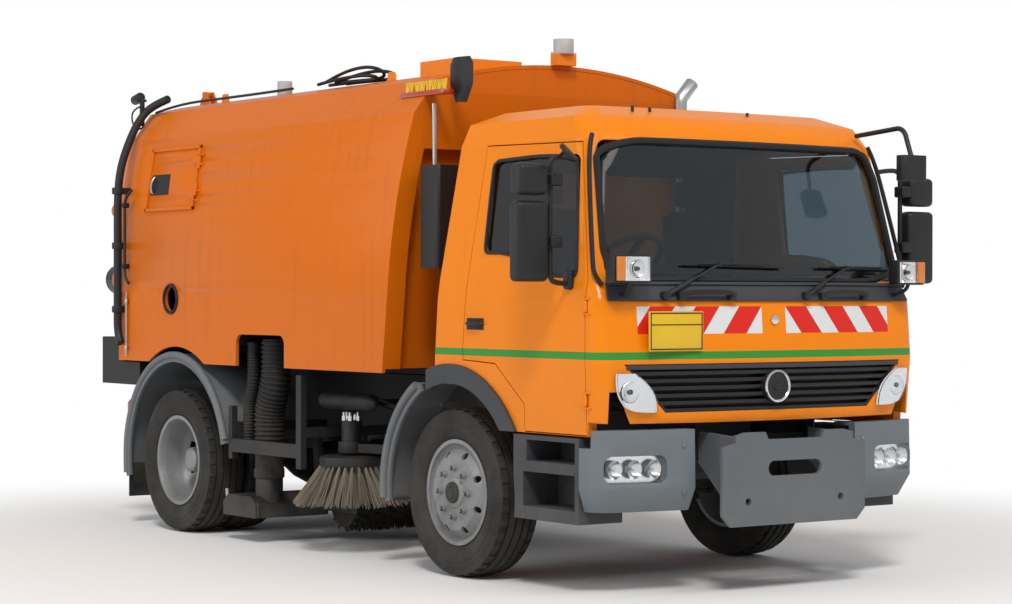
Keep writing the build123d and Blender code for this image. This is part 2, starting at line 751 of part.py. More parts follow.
with BuildPart() as dashboard:
    add(cab_volume(cab_wall + seat_gap, cab_floor_z + seat_gap))
    with BuildSketch(side_plane(-1200)):
        with BuildLine():
            Polyline((-1500, 1250), (-1500, 1640), (-1180, 1640), (-1010, 1600), (-930, 1500), (-960, 1400),
                     (-1080, 1350), (-1130, 1250), close=True)
        make_face()
    extrude(amount=2400, mode=Mode.INTERSECT)
    for side in (-1, 1):
        with BuildSketch(side_plane(side * 1200)):
            Rectangle(4000, 6000)
        extrude(amount=-side * 152, mode=Mode.SUBTRACT)
    steer_x = -560
    column_foot = (steer_x, aft(-1080), 1480)
    column_head = (steer_x, aft(-850), 1760)
    with BuildSketch(rod_plane(column_foot, column_head)):
        Circle(32)
    extrude(amount=(Vector(*column_head) - Vector(*column_foot)).length)
    with BuildSketch(rod_plane(column_head, (steer_x, aft(-620), 2040))):
        Circle(225)
        Circle(200, mode=Mode.SUBTRACT)
        Circle(60)
        Rectangle(410, 34)
        Rectangle(34, 410)
    extrude(amount=24)
keep(dashboard, "dashboard")

# ---- front end on the chassis --------------------------------------------------------------------
# Bumper sections: height, half width, bowed front at the centre and at the corners.
bumper_sections = (
    (455, 1105, -1440, -1305),
    (575, 1142, -1498, -1362),
    (885, 1140, -1492, -1356),
)
bumper_rear_aft = -1195
bumper_wall = 45
bumper_inner_x = 575
lamp_inner_x = 745
lamp_outer_x = 1100
lamp_foot_z = 608
lamp_top_z = 752


def bumper_volume(inset, rear_aft, top_gap=0):
    with BuildPart() as volume:
        for number, (height, half_width, centre, corner) in enumerate(bumper_sections):
            if number == len(bumper_sections) - 1:
                height -= top_gap
            half = half_width - inset
            with BuildSketch(Plane.XY.offset(height)) as outline:
                with BuildLine():
                    Polyline((-half, aft(corner + inset)), (-half, aft(rear_aft)), (half, aft(rear_aft)),
                             (half, aft(corner + inset)))
                    ThreePointArc(
                        (half, aft(corner + inset)), (0, aft(centre + inset)), (-half, aft(corner + inset))
                    )
                make_face()
                fillet(outline.vertices().group_by(Axis.Y)[0], 120 - inset / 2)
        loft(ruled=True)
    return volume.part


with BuildPart() as bumper:
    add(bumper_volume(0, bumper_rear_aft))
    add(bumper_volume(bumper_wall, bumper_rear_aft + 60, top_gap=18), mode=Mode.SUBTRACT)
    with BuildSketch(Plane.XY.offset(400)):
        with Locations((0, aft(-1350))):
            Rectangle(2 * bumper_inner_x, 500)
    extrude(amount=600, mode=Mode.SUBTRACT)
    with BuildSketch(front_plane(-1600)) as lamp_holes:
        for side in (-1, 1):
            with Locations((side * (lamp_inner_x + lamp_outer_x) / 2, (lamp_foot_z + lamp_top_z) / 2)):
                RectangleRounded(lamp_outer_x - lamp_inner_x, lamp_top_z - lamp_foot_z, 45)
    extrude(amount=330, mode=Mode.SUBTRACT)
    # cut back under the doors' front corners
    with BuildSketch(Plane.XY.offset(door_sill_z - 62)):
        with Locations((0, aft(door_hinge_aft - 40 + 100))):
            Rectangle(2400, 200)
    extrude(amount=100, mode=Mode.SUBTRACT)
    # brackets that reach back to the frame's front ends
    for side in (-1, 1):
        with BuildSketch(Plane.XY.offset(700)):
            with BuildLine():
                Polyline(
                    (side * (bumper_inner_x + 2), aft(-1440)), (side * (bumper_inner_x + 40), aft(-1440)),
                    (side * (bumper_inner_x + 40), aft(-1215)), (side * (rail_outer_x + seat_gap), aft(-1215)),
                    (side * (rail_outer_x + seat_gap), aft(-1275)), (side * (bumper_inner_x + 2), aft(-1275)),
                    close=True,
                )
            make_face()
        extrude(amount=120)
keep(bumper, "bumper")

with BuildPart() as headlamps:
    add(bumper_volume(3, bumper_rear_aft))
    add(bumper_volume(bumper_wall + 25, bumper_rear_aft + 150), mode=Mode.SUBTRACT)
    with BuildSketch(front_plane(-1600)):
        for side in (-1, 1):
            with Locations((side * (lamp_inner_x + lamp_outer_x) / 2, (lamp_foot_z + lamp_top_z) / 2)):
                RectangleRounded(lamp_outer_x - lamp_inner_x - 2 * seat_gap,
                                 lamp_top_z - lamp_foot_z - 2 * seat_gap, 45 - seat_gap)
    extrude(amount=330, mode=Mode.INTERSECT)
keep(headlamps, "headlamps")

# Attachment plate for front tools: a slotted face plate on two gussets at the frame's ends.
plate_half = 510
plate_foot_z = 370
plate_top_z = 865
plate_thickness = 20
plate_hole_x = 330
plate_hole_z = 500
plate_hole_radius = 20
plate_slot_half = 190
plate_slot_z = 670
plate_slot_height = 80
with BuildPart() as front_plate:
    with BuildSketch(front_plane(-front_overhang)) as face_outline:
        with BuildLine():
            Polyline(
                (-plate_half, plate_foot_z + 60), (-plate_half + 60, plate_foot_z), (plate_half - 60, plate_foot_z),
                (plate_half, plate_foot_z + 60), (plate_half, 790), (plate_half - 90, 812), (plate_half - 90, 850),
                (plate_half - 160, plate_top_z), (210, plate_top_z), (190, 825), (-190, 825), (-210, plate_top_z),
                (-plate_half + 160, plate_top_z), (-plate_half + 90, 850), (-plate_half + 90, 812),
                (-plate_half, 790), close=True,
            )
        make_face()
        with Locations((0, plate_slot_z)):
            SlotOverall(2 * plate_slot_half, plate_slot_height, mode=Mode.SUBTRACT)
        with Locations((-plate_hole_x, plate_hole_z), (plate_hole_x, plate_hole_z)):
            Circle(plate_hole_radius, mode=Mode.SUBTRACT)
    extrude(amount=plate_thickness)
    for side in (-1, 1):
        with BuildSketch(side_plane(side * 395 - 15)):
            with BuildLine():
                Polyline(
                    (-front_overhang + plate_thickness, 420), (-front_overhang + plate_thickness, 840),
                    (frame_front_aft - seat_gap, 860), (frame_front_aft - seat_gap, rail_bottom),
                    (frame_front_aft - 60, 640), close=True,
                )
            make_face()
        extrude(amount=30)
    with BuildSketch(Plane.XY.offset(742)):
        with Locations((0, aft(-1440))):
            Rectangle(2 * 395, 60)
    extrude(amount=60)
keep(front_plate, "front_plate")

# ---- steps and mudguards -------------------------------------------------------------------------
step_inner_x = 845
step_outer_x = 1136
step_front_aft = bumper_rear_aft + 7
# tread recesses: lowest z, highest z, front, rear
step_recesses = (
    (455, 640, -1150, -690),
    (700, 812, -1150, -720),
)
with BuildPart() as entry_steps:
    for side in (-1, 1):
        with BuildSketch(side_plane(side * step_inner_x)):
            with BuildLine():
                Polyline((step_front_aft, 385), (-600, 385), (-600, 838), (step_front_aft, 838), close=True)
            make_face()
            with Locations((0, tyre_radius)):
                Circle(arch_radius, mode=Mode.SUBTRACT)
        extrude(amount=side * (step_outer_x - step_inner_x))
        for low, high, front, rear in step_recesses:
            with BuildSketch(side_plane(side * (step_outer_x + 5))):
                with BuildLine():
                    Polyline((front, low), (rear, low), (rear, high), (front, high), close=True)
                make_face()
            extrude(amount=-side * 245, mode=Mode.SUBTRACT)
        with BuildSketch(side_plane(side * (rail_outer_x + seat_gap))):
            with Locations((-980, 745)):
                Rectangle(90, 70)
        extrude(amount=side * (step_inner_x - rail_outer_x))
keep(entry_steps, "entry_steps")

guard_thickness = 10
# mudguards: axle, radius, first and last angle above the horizontal seen from the right, inner x, outer x
mudguards_table = (
    (0, 690, 62, -8, 850, 1140),
    (wheelbase, 712, 168, -12, 560, 1162),
)
with BuildPart() as mudguards:
    for axle_aft, radius, start, end, inner, outer in mudguards_table:
        middle = (start + end) / 2
        for side in (-1, 1):
            with BuildSketch(side_plane(side * inner)):
                with BuildLine():
                    for r, first, last in ((radius, start, end), (radius - guard_thickness, end, start)):
                        ThreePointArc(*[
                            (axle_aft + r * math.cos(math.radians(a)), tyre_radius + r * math.sin(math.radians(a)))
                            for a in (first, middle, last)
                        ])
                    for a in (start, end):
                        Line(*[
                            (axle_aft + r * math.cos(math.radians(a)), tyre_radius + r * math.sin(math.radians(a)))
                            for r in (radius, radius - guard_thickness)
                        ])
                make_face()
            extrude(amount=side * (outer - inner))
            with BuildSketch(side_plane(side * (outer - 22))):
                with BuildLine():
                    for r, first, last in ((radius, start, end), (radius - 55, end, start)):
                        ThreePointArc(*[
                            (axle_aft + r * math.cos(math.radians(a)), tyre_radius + r * math.sin(math.radians(a)))
                            for a in (first, middle, last)
                        ])
                    for a in (start, end):
                        Line(*[
                            (axle_aft + r * math.cos(math.radians(a)), tyre_radius + r * math.sin(math.radians(a)))
                            for r in (radius, radius - 55)
                        ])
                make_face()
            extrude(amount=side * 22)
            # stay back to the rail
            with BuildSketch(Plane.XZ.offset(-aft(axle_aft + (radius - 5) * math.cos(math.radians(45)) - 15))):
                with BuildLine():
                    low = tyre_radius + (radius - 5) * math.sin(math.radians(45))
                    Polyline(
                        (side * (rail_outer_x + seat_gap), 860), (side * (rail_outer_x + seat_gap), 900),
                        (side * (inner + 30), low + 10), (side * (inner + 30), low - 20), close=True,
                    )
                make_face()
            extrude(amount=-30)
keep(mudguards, "mudguards")

# ---- driveline -----------------------------------------------------------------------------------
gearbox_rear_aft = 750
with BuildPart() as engine:
    with BuildSketch(side_plane(-300)):
        with BuildLine():
            Polyline((-900, 600), (-860, 560), (60, 560), (150, 620), (150, 985), (-860, 985), (-900, 940),
                     close=True)
        make_face()
    extrude(amount=600)
    with BuildSketch(Plane(origin=(0, aft(150), 730), z_dir=(0, 1, 0))):
        Circle(215)
    with BuildSketch(Plane(origin=(0, aft(gearbox_rear_aft), 700), z_dir=(0, 1, 0))):
        Circle(110)
    loft()
    for side in (-1, 1):
        with BuildSketch(Plane.XY.offset(706)):
            with Locations((side * (rail_outer_x + 300 - rail_web - seat_gap) / 2, aft(-500))):
                Rectangle(rail_outer_x - rail_web - seat_gap - 300, 160)
        extrude(amount=80)
keep(engine, "engine")

shaft_radius = 42
with BuildPart() as propshaft:
    with BuildSketch(Plane(origin=(0, aft(gearbox_rear_aft + seat_gap), 700), z_dir=(0, 1, 0))):
        Circle(shaft_radius)
    with BuildSketch(Plane(origin=(0, aft(wheelbase - 330 - seat_gap), tyre_radius + 20), z_dir=(0, 1, 0))):
        Circle(shaft_radius)
    loft()
keep(propshaft, "propshaft")

# fuel tank and battery box on the left: front, rear, lowest z, highest z, outer x
side_boxes = (
    (800, 1760, 440, 900, 1060),
    (1840, 2440, 500, 880, 1020),
)
box_inner_x = 500
with BuildPart() as side_tanks:
    for front, rear, low, high, outer in side_boxes:
        with BuildSketch(Plane.XZ.offset(-aft(front))) as tank_section:
            with Locations(((box_inner_x + outer) / 2, (low + high) / 2)):
                RectangleRounded(outer - box_inner_x, high - low, 70)
        extrude(amount=-(rear - front))
        for distance in (front + 160, rear - 160):
            with BuildSketch(side_plane(rail_outer_x + seat_gap)):
                with Locations((distance, 810)):
                    Rectangle(60, 120)
            extrude(amount=box_inner_x - rail_outer_x + 20)
keep(side_tanks, "side_tanks")

# ---- exhaust and air intake behind the cab -------------------------------------------------------
stack_x = 820
stack_aft = 362
silencer_radius = 105
stack_radius = 42
bracket_z = 1098
with BuildPart() as exhaust_stack:
    with BuildSketch(Plane.XY.offset(bracket_z + 20)):
        with Locations((stack_x, aft(stack_aft))):
            Circle(silencer_radius)
    extrude(amount=820)
    with BuildLine():
        FilletPolyline(
            (stack_x, aft(stack_aft), 1930), (stack_x, aft(stack_aft), 2800), (stack_x + 95, aft(stack_aft), 2905),
            radius=70,
        )
    with BuildSketch(Plane(origin=(stack_x, aft(stack_aft), 1930), z_dir=(0, 0, 1))):
        Circle(stack_radius)
    sweep()
    with BuildSketch(Plane.XY.offset(bracket_z)):
        with Locations(((stack_x + rail_outer_x) / 2, aft(stack_aft))):
            Rectangle(stack_x - rail_outer_x + 60, 100)
    extrude(amount=21)
    with BuildSketch(Plane.XY.offset(rail_bottom + 60)):
        with Locations((rail_outer_x + seat_gap + 12, aft(stack_aft))):
            Rectangle(24, 100)
    extrude(amount=bracket_z + 10 - rail_bottom - 60)
keep(exhaust_stack, "exhaust_stack")

intake_x = -930
intake_aft = 372
with BuildPart() as air_intake:
    with BuildSketch(Plane.XY.offset(1740)):
        with Locations((intake_x, aft(intake_aft))):
            RectangleRounded(230, 190, 25)
    extrude(amount=595)
    with BuildSketch(Plane.XY.offset(bracket_z)):
        with Locations((intake_x + 20, aft(intake_aft))):
            Circle(48)
    extrude(amount=660)
    with BuildSketch(Plane.XY.offset(bracket_z)):
        with Locations(((intake_x - rail_outer_x) / 2, aft(intake_aft))):
            Rectangle(-intake_x - rail_outer_x + 60, 100)
    extrude(amount=21)
    with BuildSketch(Plane.XY.offset(rail_bottom + 60)):
        with Locations((-rail_outer_x - seat_gap - 12, aft(intake_aft))):
            Rectangle(24, 100)
    extrude(amount=bracket_z + 10 - rail_bottom - 60)
keep(air_intake, "air_intake")

# ---- rear end of the chassis ---------------------------------------------------------------------
beam_half = 1060
beam_depth = 48
beam_foot_z = 745
beam_top_z = 850
coupling_pin_radius = 20
coupling_z = 560
coupling_aft = frame_rear_aft + 135
with BuildPart() as rear_beam:
    with BuildSketch(Plane.XY.offset(beam_foot_z)):
        with Locations((0, aft(frame_rear_aft + seat_gap + beam_depth / 2))):
            RectangleRounded(2 * beam_half, beam_depth, 14)
    extrude(amount=beam_top_z - beam_foot_z)
    # jaw for the tow pin, hung under the beam
    with BuildSketch(side_plane(-70)):
        with BuildLine():
            Polyline(
                (frame_rear_aft + 4, beam_foot_z + 20), (frame_rear_aft + 44, beam_foot_z + 20),
                (frame_rear_aft + 60, 640), (coupling_aft + 45, 620), (coupling_aft + 45, 592),
                (frame_rear_aft + 75, 592), (frame_rear_aft + 75, 528), (coupling_aft + 45, 528),
                (coupling_aft + 45, 500), (frame_rear_aft + 30, 500), (frame_rear_aft + 4, 560), close=True,
            )
        make_face()
    extrude(amount=140)
    with BuildSketch(Plane.XY.offset(480)):
        with Locations((0, aft(coupling_aft))):
            Circle(coupling_pin_radius)
    extrude(amount=170, mode=Mode.SUBTRACT)
keep(rear_beam, "rear_beam")

with BuildPart() as tail_lamps:
    for side in (-1, 1):
        with BuildSketch(Plane.XZ.offset(-aft(frame_rear_aft + 2 * seat_gap + beam_depth))):
            with Locations((side * 920, (beam_foot_z + beam_top_z) / 2)):
                RectangleRounded(260, 84, 16)
        extrude(amount=-34)
keep(tail_lamps, "tail_lamps")

# ---- hopper --------------------------------------------------------------------------------------
# Right half of the hopper's cross section from the foot up: x, z
side_foot = (hopper_half_width, hopper_bottom)
side_knee = (hopper_half_width, 1600)
side_bulge = (1128, 2130)
side_shoulder = (1046, 2650)
roof_edge = (908, 2846)
front_edge_top = (hopper_front_aft, 2780)
front_edge_foot = (hopper_front_aft + 200, hopper_bottom)
port_aft = wheelbase + 67
port_z = 1556
port_radius = 85
hatch_front_aft = wheelbase - 210
hatch_rear_aft = wheelbase + 480
hatch_foot_z = 2150
hatch_top_z = 2580
inlet_front_aft = wheelbase - 1430
inlet_rear_aft = wheelbase - 820
inlet_top_z = 1332
inlet_depth = 360


def hopper_face(inset, floor_z=None):
    """Cross section of the hopper drawn in by inset; x across, z up."""
    with BuildSketch() as section:
        with BuildLine():
            for side in (-1, 1):
                Line((side * side_foot[0], side_foot[1]), (side * side_knee[0], side_knee[1]))
                ThreePointArc(*[(side * x, z) for x, z in (side_knee, side_bulge, side_shoulder)])
                Line((side * side_shoulder[0], side_shoulder[1]), (side * roof_edge[0], roof_edge[1]))
            ThreePointArc((-roof_edge[0], roof_edge[1]), (0, hopper_roof_z), roof_edge)
            Line((-side_foot[0], side_foot[1]), side_foot)
        make_face()
        if inset:
            offset(amount=-inset, kind=Kind.INTERSECTION, mode=Mode.REPLACE)
        if floor_z:
            with Locations((0, floor_z - 1000)):
                Rectangle(3000, 2000, mode=Mode.SUBTRACT)
    return section.sketch


def cross_plane(distance):
    """Sketch plane across the vehicle: x to the left, z up; a negative extrusion goes rearwards."""
    return Plane.XZ.offset(-aft(distance))


def front_edge_band(start, thickness):
    """Side outline of a slab behind the hopper's raked front edge."""
    top_aft, top_z = front_edge_top
    foot_aft, foot_z = front_edge_foot
    return [
        (top_aft + start, top_z + 400), (top_aft + start, top_z), (foot_aft + start, foot_z),
        (foot_aft + start + thickness, foot_z), (top_aft + start + thickness, top_z),
        (top_aft + start + thickness, top_z + 400),
    ]


hatch_lean = math.atan2(1125 - 1066, hatch_top_z - hatch_foot_z)
hatch_axis_foot = (-(1125 + 17), aft(hatch_front_aft), hatch_foot_z)
hatch_axis_direction = (math.sin(hatch_lean), 0, math.cos(hatch_lean))
hatch_knuckles = (70, 310)     # along the axis
knuckle_length = 50
tail_hinge_aft = hopper_rear_aft + 2
tail_hinge_z = 3005
tail_hinge_x = 450
tail_pin_radius = 12


def hatch_plane(along):
    """Plane across the hatch's hinge line: first axis rearwards, second outwards."""
    origin = Vector(*hatch_axis_foot) + Vector(*hatch_axis_direction) * along
    return Plane(origin=origin, x_dir=(0, 1, 0), z_dir=hatch_axis_direction)


with BuildPart() as hopper_shell:
    with BuildSketch(cross_plane(hopper_front_aft - 50)):
        add(hopper_face(0))
        add(hopper_face(skin), mode=Mode.SUBTRACT)
        with Locations((0, hopper_bottom)):
            Rectangle(2 * (hopper_half_width - skin), 100, mode=Mode.SUBTRACT)
    extrude(amount=-(hopper_rear_aft - hopper_front_aft + 50))
    with BuildSketch(side_plane(-1300)):
        with BuildLine():
            Polyline((0, 3200), (front_edge_top[0], 3200), front_edge_top, front_edge_foot,
                     (front_edge_foot[0], 1000), (0, 1000), close=True)
        make_face()
        with Locations((wheelbase, tyre_radius)):
            Circle(760)
    extrude(amount=2600, mode=Mode.SUBTRACT)
    with BuildSketch(side_plane(-1300)):
        with Locations(((inlet_front_aft + inlet_rear_aft) / 2, inlet_top_z - 200)):
            RectangleRounded(inlet_rear_aft - inlet_front_aft, 400, 60)
        with Locations((port_aft, port_z)):
            Circle(port_radius)
        with BuildLine():
            Polyline((hatch_front_aft, hatch_foot_z), (hatch_rear_aft, hatch_foot_z),
                     (hatch_rear_aft, hatch_top_z), (hatch_front_aft, hatch_top_z), close=True)
        make_face()
    extrude(amount=500, mode=Mode.SUBTRACT)
    # lugs of the tailgate's hinge, each pair with its pin
    for side in (-1, 1):
        for offset_x in (-36, 20):
            with BuildSketch(side_plane(side * tail_hinge_x + offset_x)):
                with BuildLine():
                    Polyline((tail_hinge_aft - 90, 2930), (tail_hinge_aft - 25, tail_hinge_z + 22),
                             (tail_hinge_aft + 18, tail_hinge_z + 22), (tail_hinge_aft + 18, tail_hinge_z - 20),
                             (tail_hinge_aft - 4, tail_hinge_z - 24), (tail_hinge_aft - 4, 2930), close=True)
                make_face()
            extrude(amount=16)
        with BuildSketch(side_plane(side * tail_hinge_x - 30)):
            with Locations((tail_hinge_aft, tail_hinge_z)):
                Circle(tail_pin_radius)
        extrude(amount=60)
    # the side hatch's hinge pins
    for along in hatch_knuckles:
        for end in (along - 12, along + knuckle_length + 2):
            with BuildSketch(hatch_plane(end)):
                with Locations((-32, -14)):
                    Rectangle(76, 22)
                Circle(9)
            extrude(amount=10)
        with BuildSketch(hatch_plane(along - 8)):
            Circle(4)
        extrude(amount=knuckle_length + 16)
keep(hopper_shell, "hopper_shell")

floor_thickness = 28
floor_half_width = hopper_half_width - skin - seat_gap
floor_front_aft = front_edge_foot[0] + 132
floor_joint_z = hopper_floor_z + floor_thickness / 2
bearer_gap = 5
bearer_front_aft = 860
ram_ear_x = 46
ram_beam_foot_z = 1205
sill_front_aft = hopper_rear_aft - 240
sill_step_aft = hopper_rear_aft + 15
sill_rear_aft = hopper_rear_aft + 340
with BuildPart() as hopper_floor:
    with BuildSketch(Plane.XY.offset(hopper_floor_z)):
        with Locations((0, aft((floor_front_aft + hopper_rear_aft) / 2))):
            Rectangle(2 * floor_half_width, hopper_rear_aft - floor_front_aft)
    extrude(amount=floor_thickness)
    # inlet chamber over the hoses, open below and to the side
    inlet_mid_aft = (inlet_front_aft + inlet_rear_aft) / 2
    with BuildSketch(side_plane(-floor_half_width)):
        with Locations((inlet_mid_aft, (hopper_floor_z + 2 + inlet_top_z + 90) / 2)):
            Rectangle(inlet_rear_aft - inlet_front_aft + 60, inlet_top_z + 90 - hopper_floor_z - 2)
    extrude(amount=inlet_depth)
    with BuildSketch(side_plane(-floor_half_width - 10)):
        with Locations((inlet_mid_aft, (hopper_floor_z - 10 + inlet_top_z + 70) / 2)):
            Rectangle(inlet_rear_aft - inlet_front_aft + 20, inlet_top_z + 80 - hopper_floor_z)
    extrude(amount=inlet_depth - 10, mode=Mode.SUBTRACT)
    for side in (-1, 1):
        with BuildSketch(Plane.XY.offset(subframe_top + bearer_gap)):
            with Locations((side * rail_mid_x, aft((bearer_front_aft + hopper_pivot_aft - 68) / 2))):
                Rectangle(rail_flange, hopper_pivot_aft - 68 - bearer_front_aft)
        extrude(amount=floor_joint_z - subframe_top - bearer_gap)
        # hinge ears outside the body frame's ears
        with BuildSketch(side_plane(side * (rail_outer_x + 24) - 18)):
            with BuildLine():
                Polyline(
                    (hopper_pivot_aft - 270, subframe_top + bearer_gap), (hopper_pivot_aft - 270, floor_joint_z),
                    (hopper_pivot_aft - 55, floor_joint_z),
                    (hopper_pivot_aft + 58, hopper_pivot_z + 60), (hopper_pivot_aft + 58, hopper_pivot_z - 40),
                    (hopper_pivot_aft - 30, hopper_pivot_z - 55), (hopper_pivot_aft - 110, subframe_top + bearer_gap),
                    close=True,
                )
            make_face()
            with Locations((hopper_pivot_aft, hopper_pivot_z)):
                Circle(pivot_pin_radius + seat_gap, mode=Mode.SUBTRACT)
        extrude(amount=36)
        # black sill box below the tailgate
        with BuildSketch(side_plane(side * 520)):
            with BuildLine():
                Polyline((sill_front_aft, 960), (sill_rear_aft, 960), (sill_rear_aft, 1288), (sill_step_aft, 1288),
                         (sill_step_aft, 1120), (sill_front_aft, 1120), close=True)
            make_face()
        extrude(amount=side * 590)
        with BuildSketch(side_plane(side * 700)):
            with Locations((sill_front_aft + 100, (1110 + floor_joint_z) / 2)):
                Rectangle(120, floor_joint_z - 1110)
        extrude(amount=side * 20)
    # cross beam between the bearers, with the ears for the ram's eye
    with BuildSketch(Plane.XY.offset(ram_beam_foot_z)):
        with Locations((0, aft(ram_eye_aft))):
            Rectangle(2 * rail_mid_x, 200)
    extrude(amount=floor_joint_z - ram_beam_foot_z)
    for x in (-ram_ear_x, ram_ear_x):
        with BuildSketch(side_plane(x - 9)):
            with BuildLine():
                Polyline((ram_eye_aft - 80, ram_beam_foot_z + 10), (ram_eye_aft - 45, ram_eye_z - 40),
                         (ram_eye_aft + 45, ram_eye_z - 40), (ram_eye_aft + 80, ram_beam_foot_z + 10), close=True)
            make_face()
        extrude(amount=18)
keep(hopper_floor, "hopper_floor")

# Front of the hopper: a flange behind the raked edge, closed to the arch above the cab, and the wall.
flange_width = 105
flange_thickness = 12
wall_setback = 112
wall_thickness = 20
arch_plate_z = 2440
with BuildPart() as front_wall:
    with BuildSketch(cross_plane(0)):
        add(hopper_face(skin + seat_gap))
    extrude(amount=-1200)
    with BuildSketch(side_plane(-1300)):
        with BuildLine():
            Polyline(*front_edge_band(wall_setback, wall_thickness), close=True)
        make_face()
    extrude(amount=2600, mode=Mode.INTERSECT)
with BuildPart() as hopper_front:
    with BuildSketch(cross_plane(0)):
        add(hopper_face(skin + seat_gap))
    extrude(amount=-1200)
    with BuildSketch(side_plane(-1300)):
        with BuildLine():
            Polyline(*front_edge_band(2, flange_thickness), close=True)
        make_face()
    extrude(amount=2600, mode=Mode.INTERSECT)
    with BuildSketch(cross_plane(0)):
        add(hopper_face(skin + flange_width))
        with Locations((0, arch_plate_z + 500)):
            Rectangle(3000, 1000, mode=Mode.SUBTRACT)
        with Locations((0, hopper_bottom)):
            Rectangle(2 * (hopper_half_width - skin - flange_width), 400)
    extrude(amount=-1200, mode=Mode.SUBTRACT)
    add(front_wall.part)
keep(hopper_front, "hopper_front")

# Tailgate: a dished cover on two arms that hang from the roof hinge.
tail_gap = 6
tail_depth = 225
tail_foot_z = 1298
with BuildPart() as tailgate:
    with BuildSketch(cross_plane(hopper_rear_aft + tail_gap)):
        add(hopper_face(3, tail_foot_z))
    with BuildSketch(cross_plane(hopper_rear_aft + tail_gap + tail_depth)):
        add(hopper_face(90, tail_foot_z + 40))
    loft(ruled=True)
    with BuildSketch(cross_plane(hopper_rear_aft + tail_gap - 1)):
        add(hopper_face(3 + 35, tail_foot_z + 35))
    with BuildSketch(cross_plane(hopper_rear_aft + tail_gap + tail_depth - 30)):
        add(hopper_face(90 + 20, tail_foot_z + 62))
    loft(ruled=True, mode=Mode.SUBTRACT)
    for side in (-1, 1):
        with BuildSketch(side_plane(side * tail_hinge_x - 14)):
            with BuildLine():
                Polyline((tail_hinge_aft + 10, tail_hinge_z + 20), (tail_hinge_aft + 75, 2985),
                         (tail_hinge_aft + 130, 2860), (tail_hinge_aft + 10, 2900),
                         (tail_hinge_aft + 10, tail_hinge_z - 30), close=True)
            make_face()
            with Locations((tail_hinge_aft, tail_hinge_z)):
                Circle(tail_pin_radius + 10)
            with Locations((tail_hinge_aft, tail_hinge_z)):
                Circle(tail_pin_radius + seat_gap, mode=Mode.SUBTRACT)
        extrude(amount=28)
    # round access covers on the rear face: x, z, radius, how far they stand out
    for x, z, radius, stand in ((-955, 1690, 105, 159), (-980, 2180, 55, 120)):
        with BuildSketch(cross_plane(hopper_rear_aft + tail_gap + tail_depth - 25)):
            with Locations((x, z)):
                Circle(radius)
        extrude(amount=-(stand + 25))
keep(tailgate, "tailgate")

with BuildPart() as side_hatch:
    with BuildSketch(cross_plane(hatch_front_aft + panel_gap)):
        add(hopper_face(0))
        add(hopper_face(skin), mode=Mode.SUBTRACT)
        with Locations((1500, 2000)):
            Rectangle(3000, 3000, mode=Mode.SUBTRACT)
        with Locations((-1000, hatch_foot_z + panel_gap - 1000), (-1000, hatch_top_z - panel_gap + 1000)):
            Rectangle(2400, 2000, mode=Mode.SUBTRACT)
    extrude(amount=-(hatch_rear_aft - hatch_front_aft - 2 * panel_gap))
    for along in hatch_knuckles:
        with BuildSketch(hatch_plane(along)):
            with Locations((36, -12)):
                Rectangle(60, 20)
            Circle(9)
            Circle(4 + seat_gap, mode=Mode.SUBTRACT)
        extrude(amount=knuckle_length)
keep(side_hatch, "side_hatch")

# ---- roof gear and hand suction boom -------------------------------------------------------------
beacon_aft = hopper_front_aft + 2 - seat_gap - 30
with BuildPart() as roof_gear:
    # front beacon on its post ahead of the arch plate
    with BuildSketch(Plane.XY.offset(2880)):
        with Locations((0, aft(beacon_aft))):
            Rectangle(150, 60)
    extrude(amount=170)
    for x, distance, low, high, radius in ((0, beacon_aft, 3040, 3130, 62), (-550, 2850, 2905, 3012, 50)):
        with BuildSketch(Plane.XY.offset(low)):
            with Locations((x, aft(distance))):
                Circle(radius)
        extrude(amount=high - low)
    # cover and lifting lugs on the roof
    with BuildSketch(Plane.XY.offset(2850)):
        with Locations((-480, aft(760))):
            Rectangle(480, 380)
    extrude(amount=138)
    for x, distance in ((-640, 1390), (-640, 3500), (640, 1390), (640, 3500)):
        with BuildSketch(side_plane(x - 10)):
            with BuildLine():
                Polyline((distance - 60, 2850), (distance - 25, 2965), (distance + 25, 2965), (distance + 60, 2850),
                         close=True)
            make_face()
        extrude(amount=20)
    add(hopper_shell.part, mode=Mode.SUBTRACT)
    with BuildSketch(cross_plane(0)):
        add(hopper_face(1))
    extrude(amount=-5000, mode=Mode.SUBTRACT)
keep(roof_gear, "roof_gear")

boom_radius = 62
boom_x = -(hopper_half_width + boom_radius + 12)
boom_aft = hopper_rear_aft - 80
with BuildPart() as suction_boom:
    with BuildLine():
        FilletPolyline(
            (boom_x, aft(boom_aft), 1245), (boom_x, aft(boom_aft), 2560), (-1085, aft(boom_aft - 20), 2860),
            (-800, aft(boom_aft - 60), 3010), (-420, aft(boom_aft - 420), 3055), radius=(160, 140, 140),
        )
    with BuildSketch(Plane(origin=(boom_x, aft(boom_aft), 1245), z_dir=(0, 0, 1))):
        Circle(boom_radius)
    sweep()
    for z in (1400, 1960, 2420):
        with BuildSketch(Plane.XY.offset(z)):
            with Locations((boom_x, aft(boom_aft))):
                Circle(boom_radius + 14)
            with Locations((boom_x + boom_radius, aft(boom_aft))):
                Rectangle(60, 60)
        extrude(amount=50)
    add(hopper_shell.part, mode=Mode.SUBTRACT)
keep(suction_boom, "suction_boom")

# ---- tipping ram ---------------------------------------------------------------------------------
ram_foot = (0, aft(ram_pivot_aft), ram_pivot_z)
ram_head = (0, aft(ram_eye_aft), ram_eye_z)
ram_direction = (Vector(*ram_head) - Vector(*ram_foot)).normalized()
ram_length = (Vector(*ram_head) - Vector(*ram_foot)).length
ram_barrel_end = ram_length - 95
ram_eye_radius = 40


def ram_plane(along):
    return Plane(origin=Vector(*ram_foot) + ram_direction * along, z_dir=ram_direction)


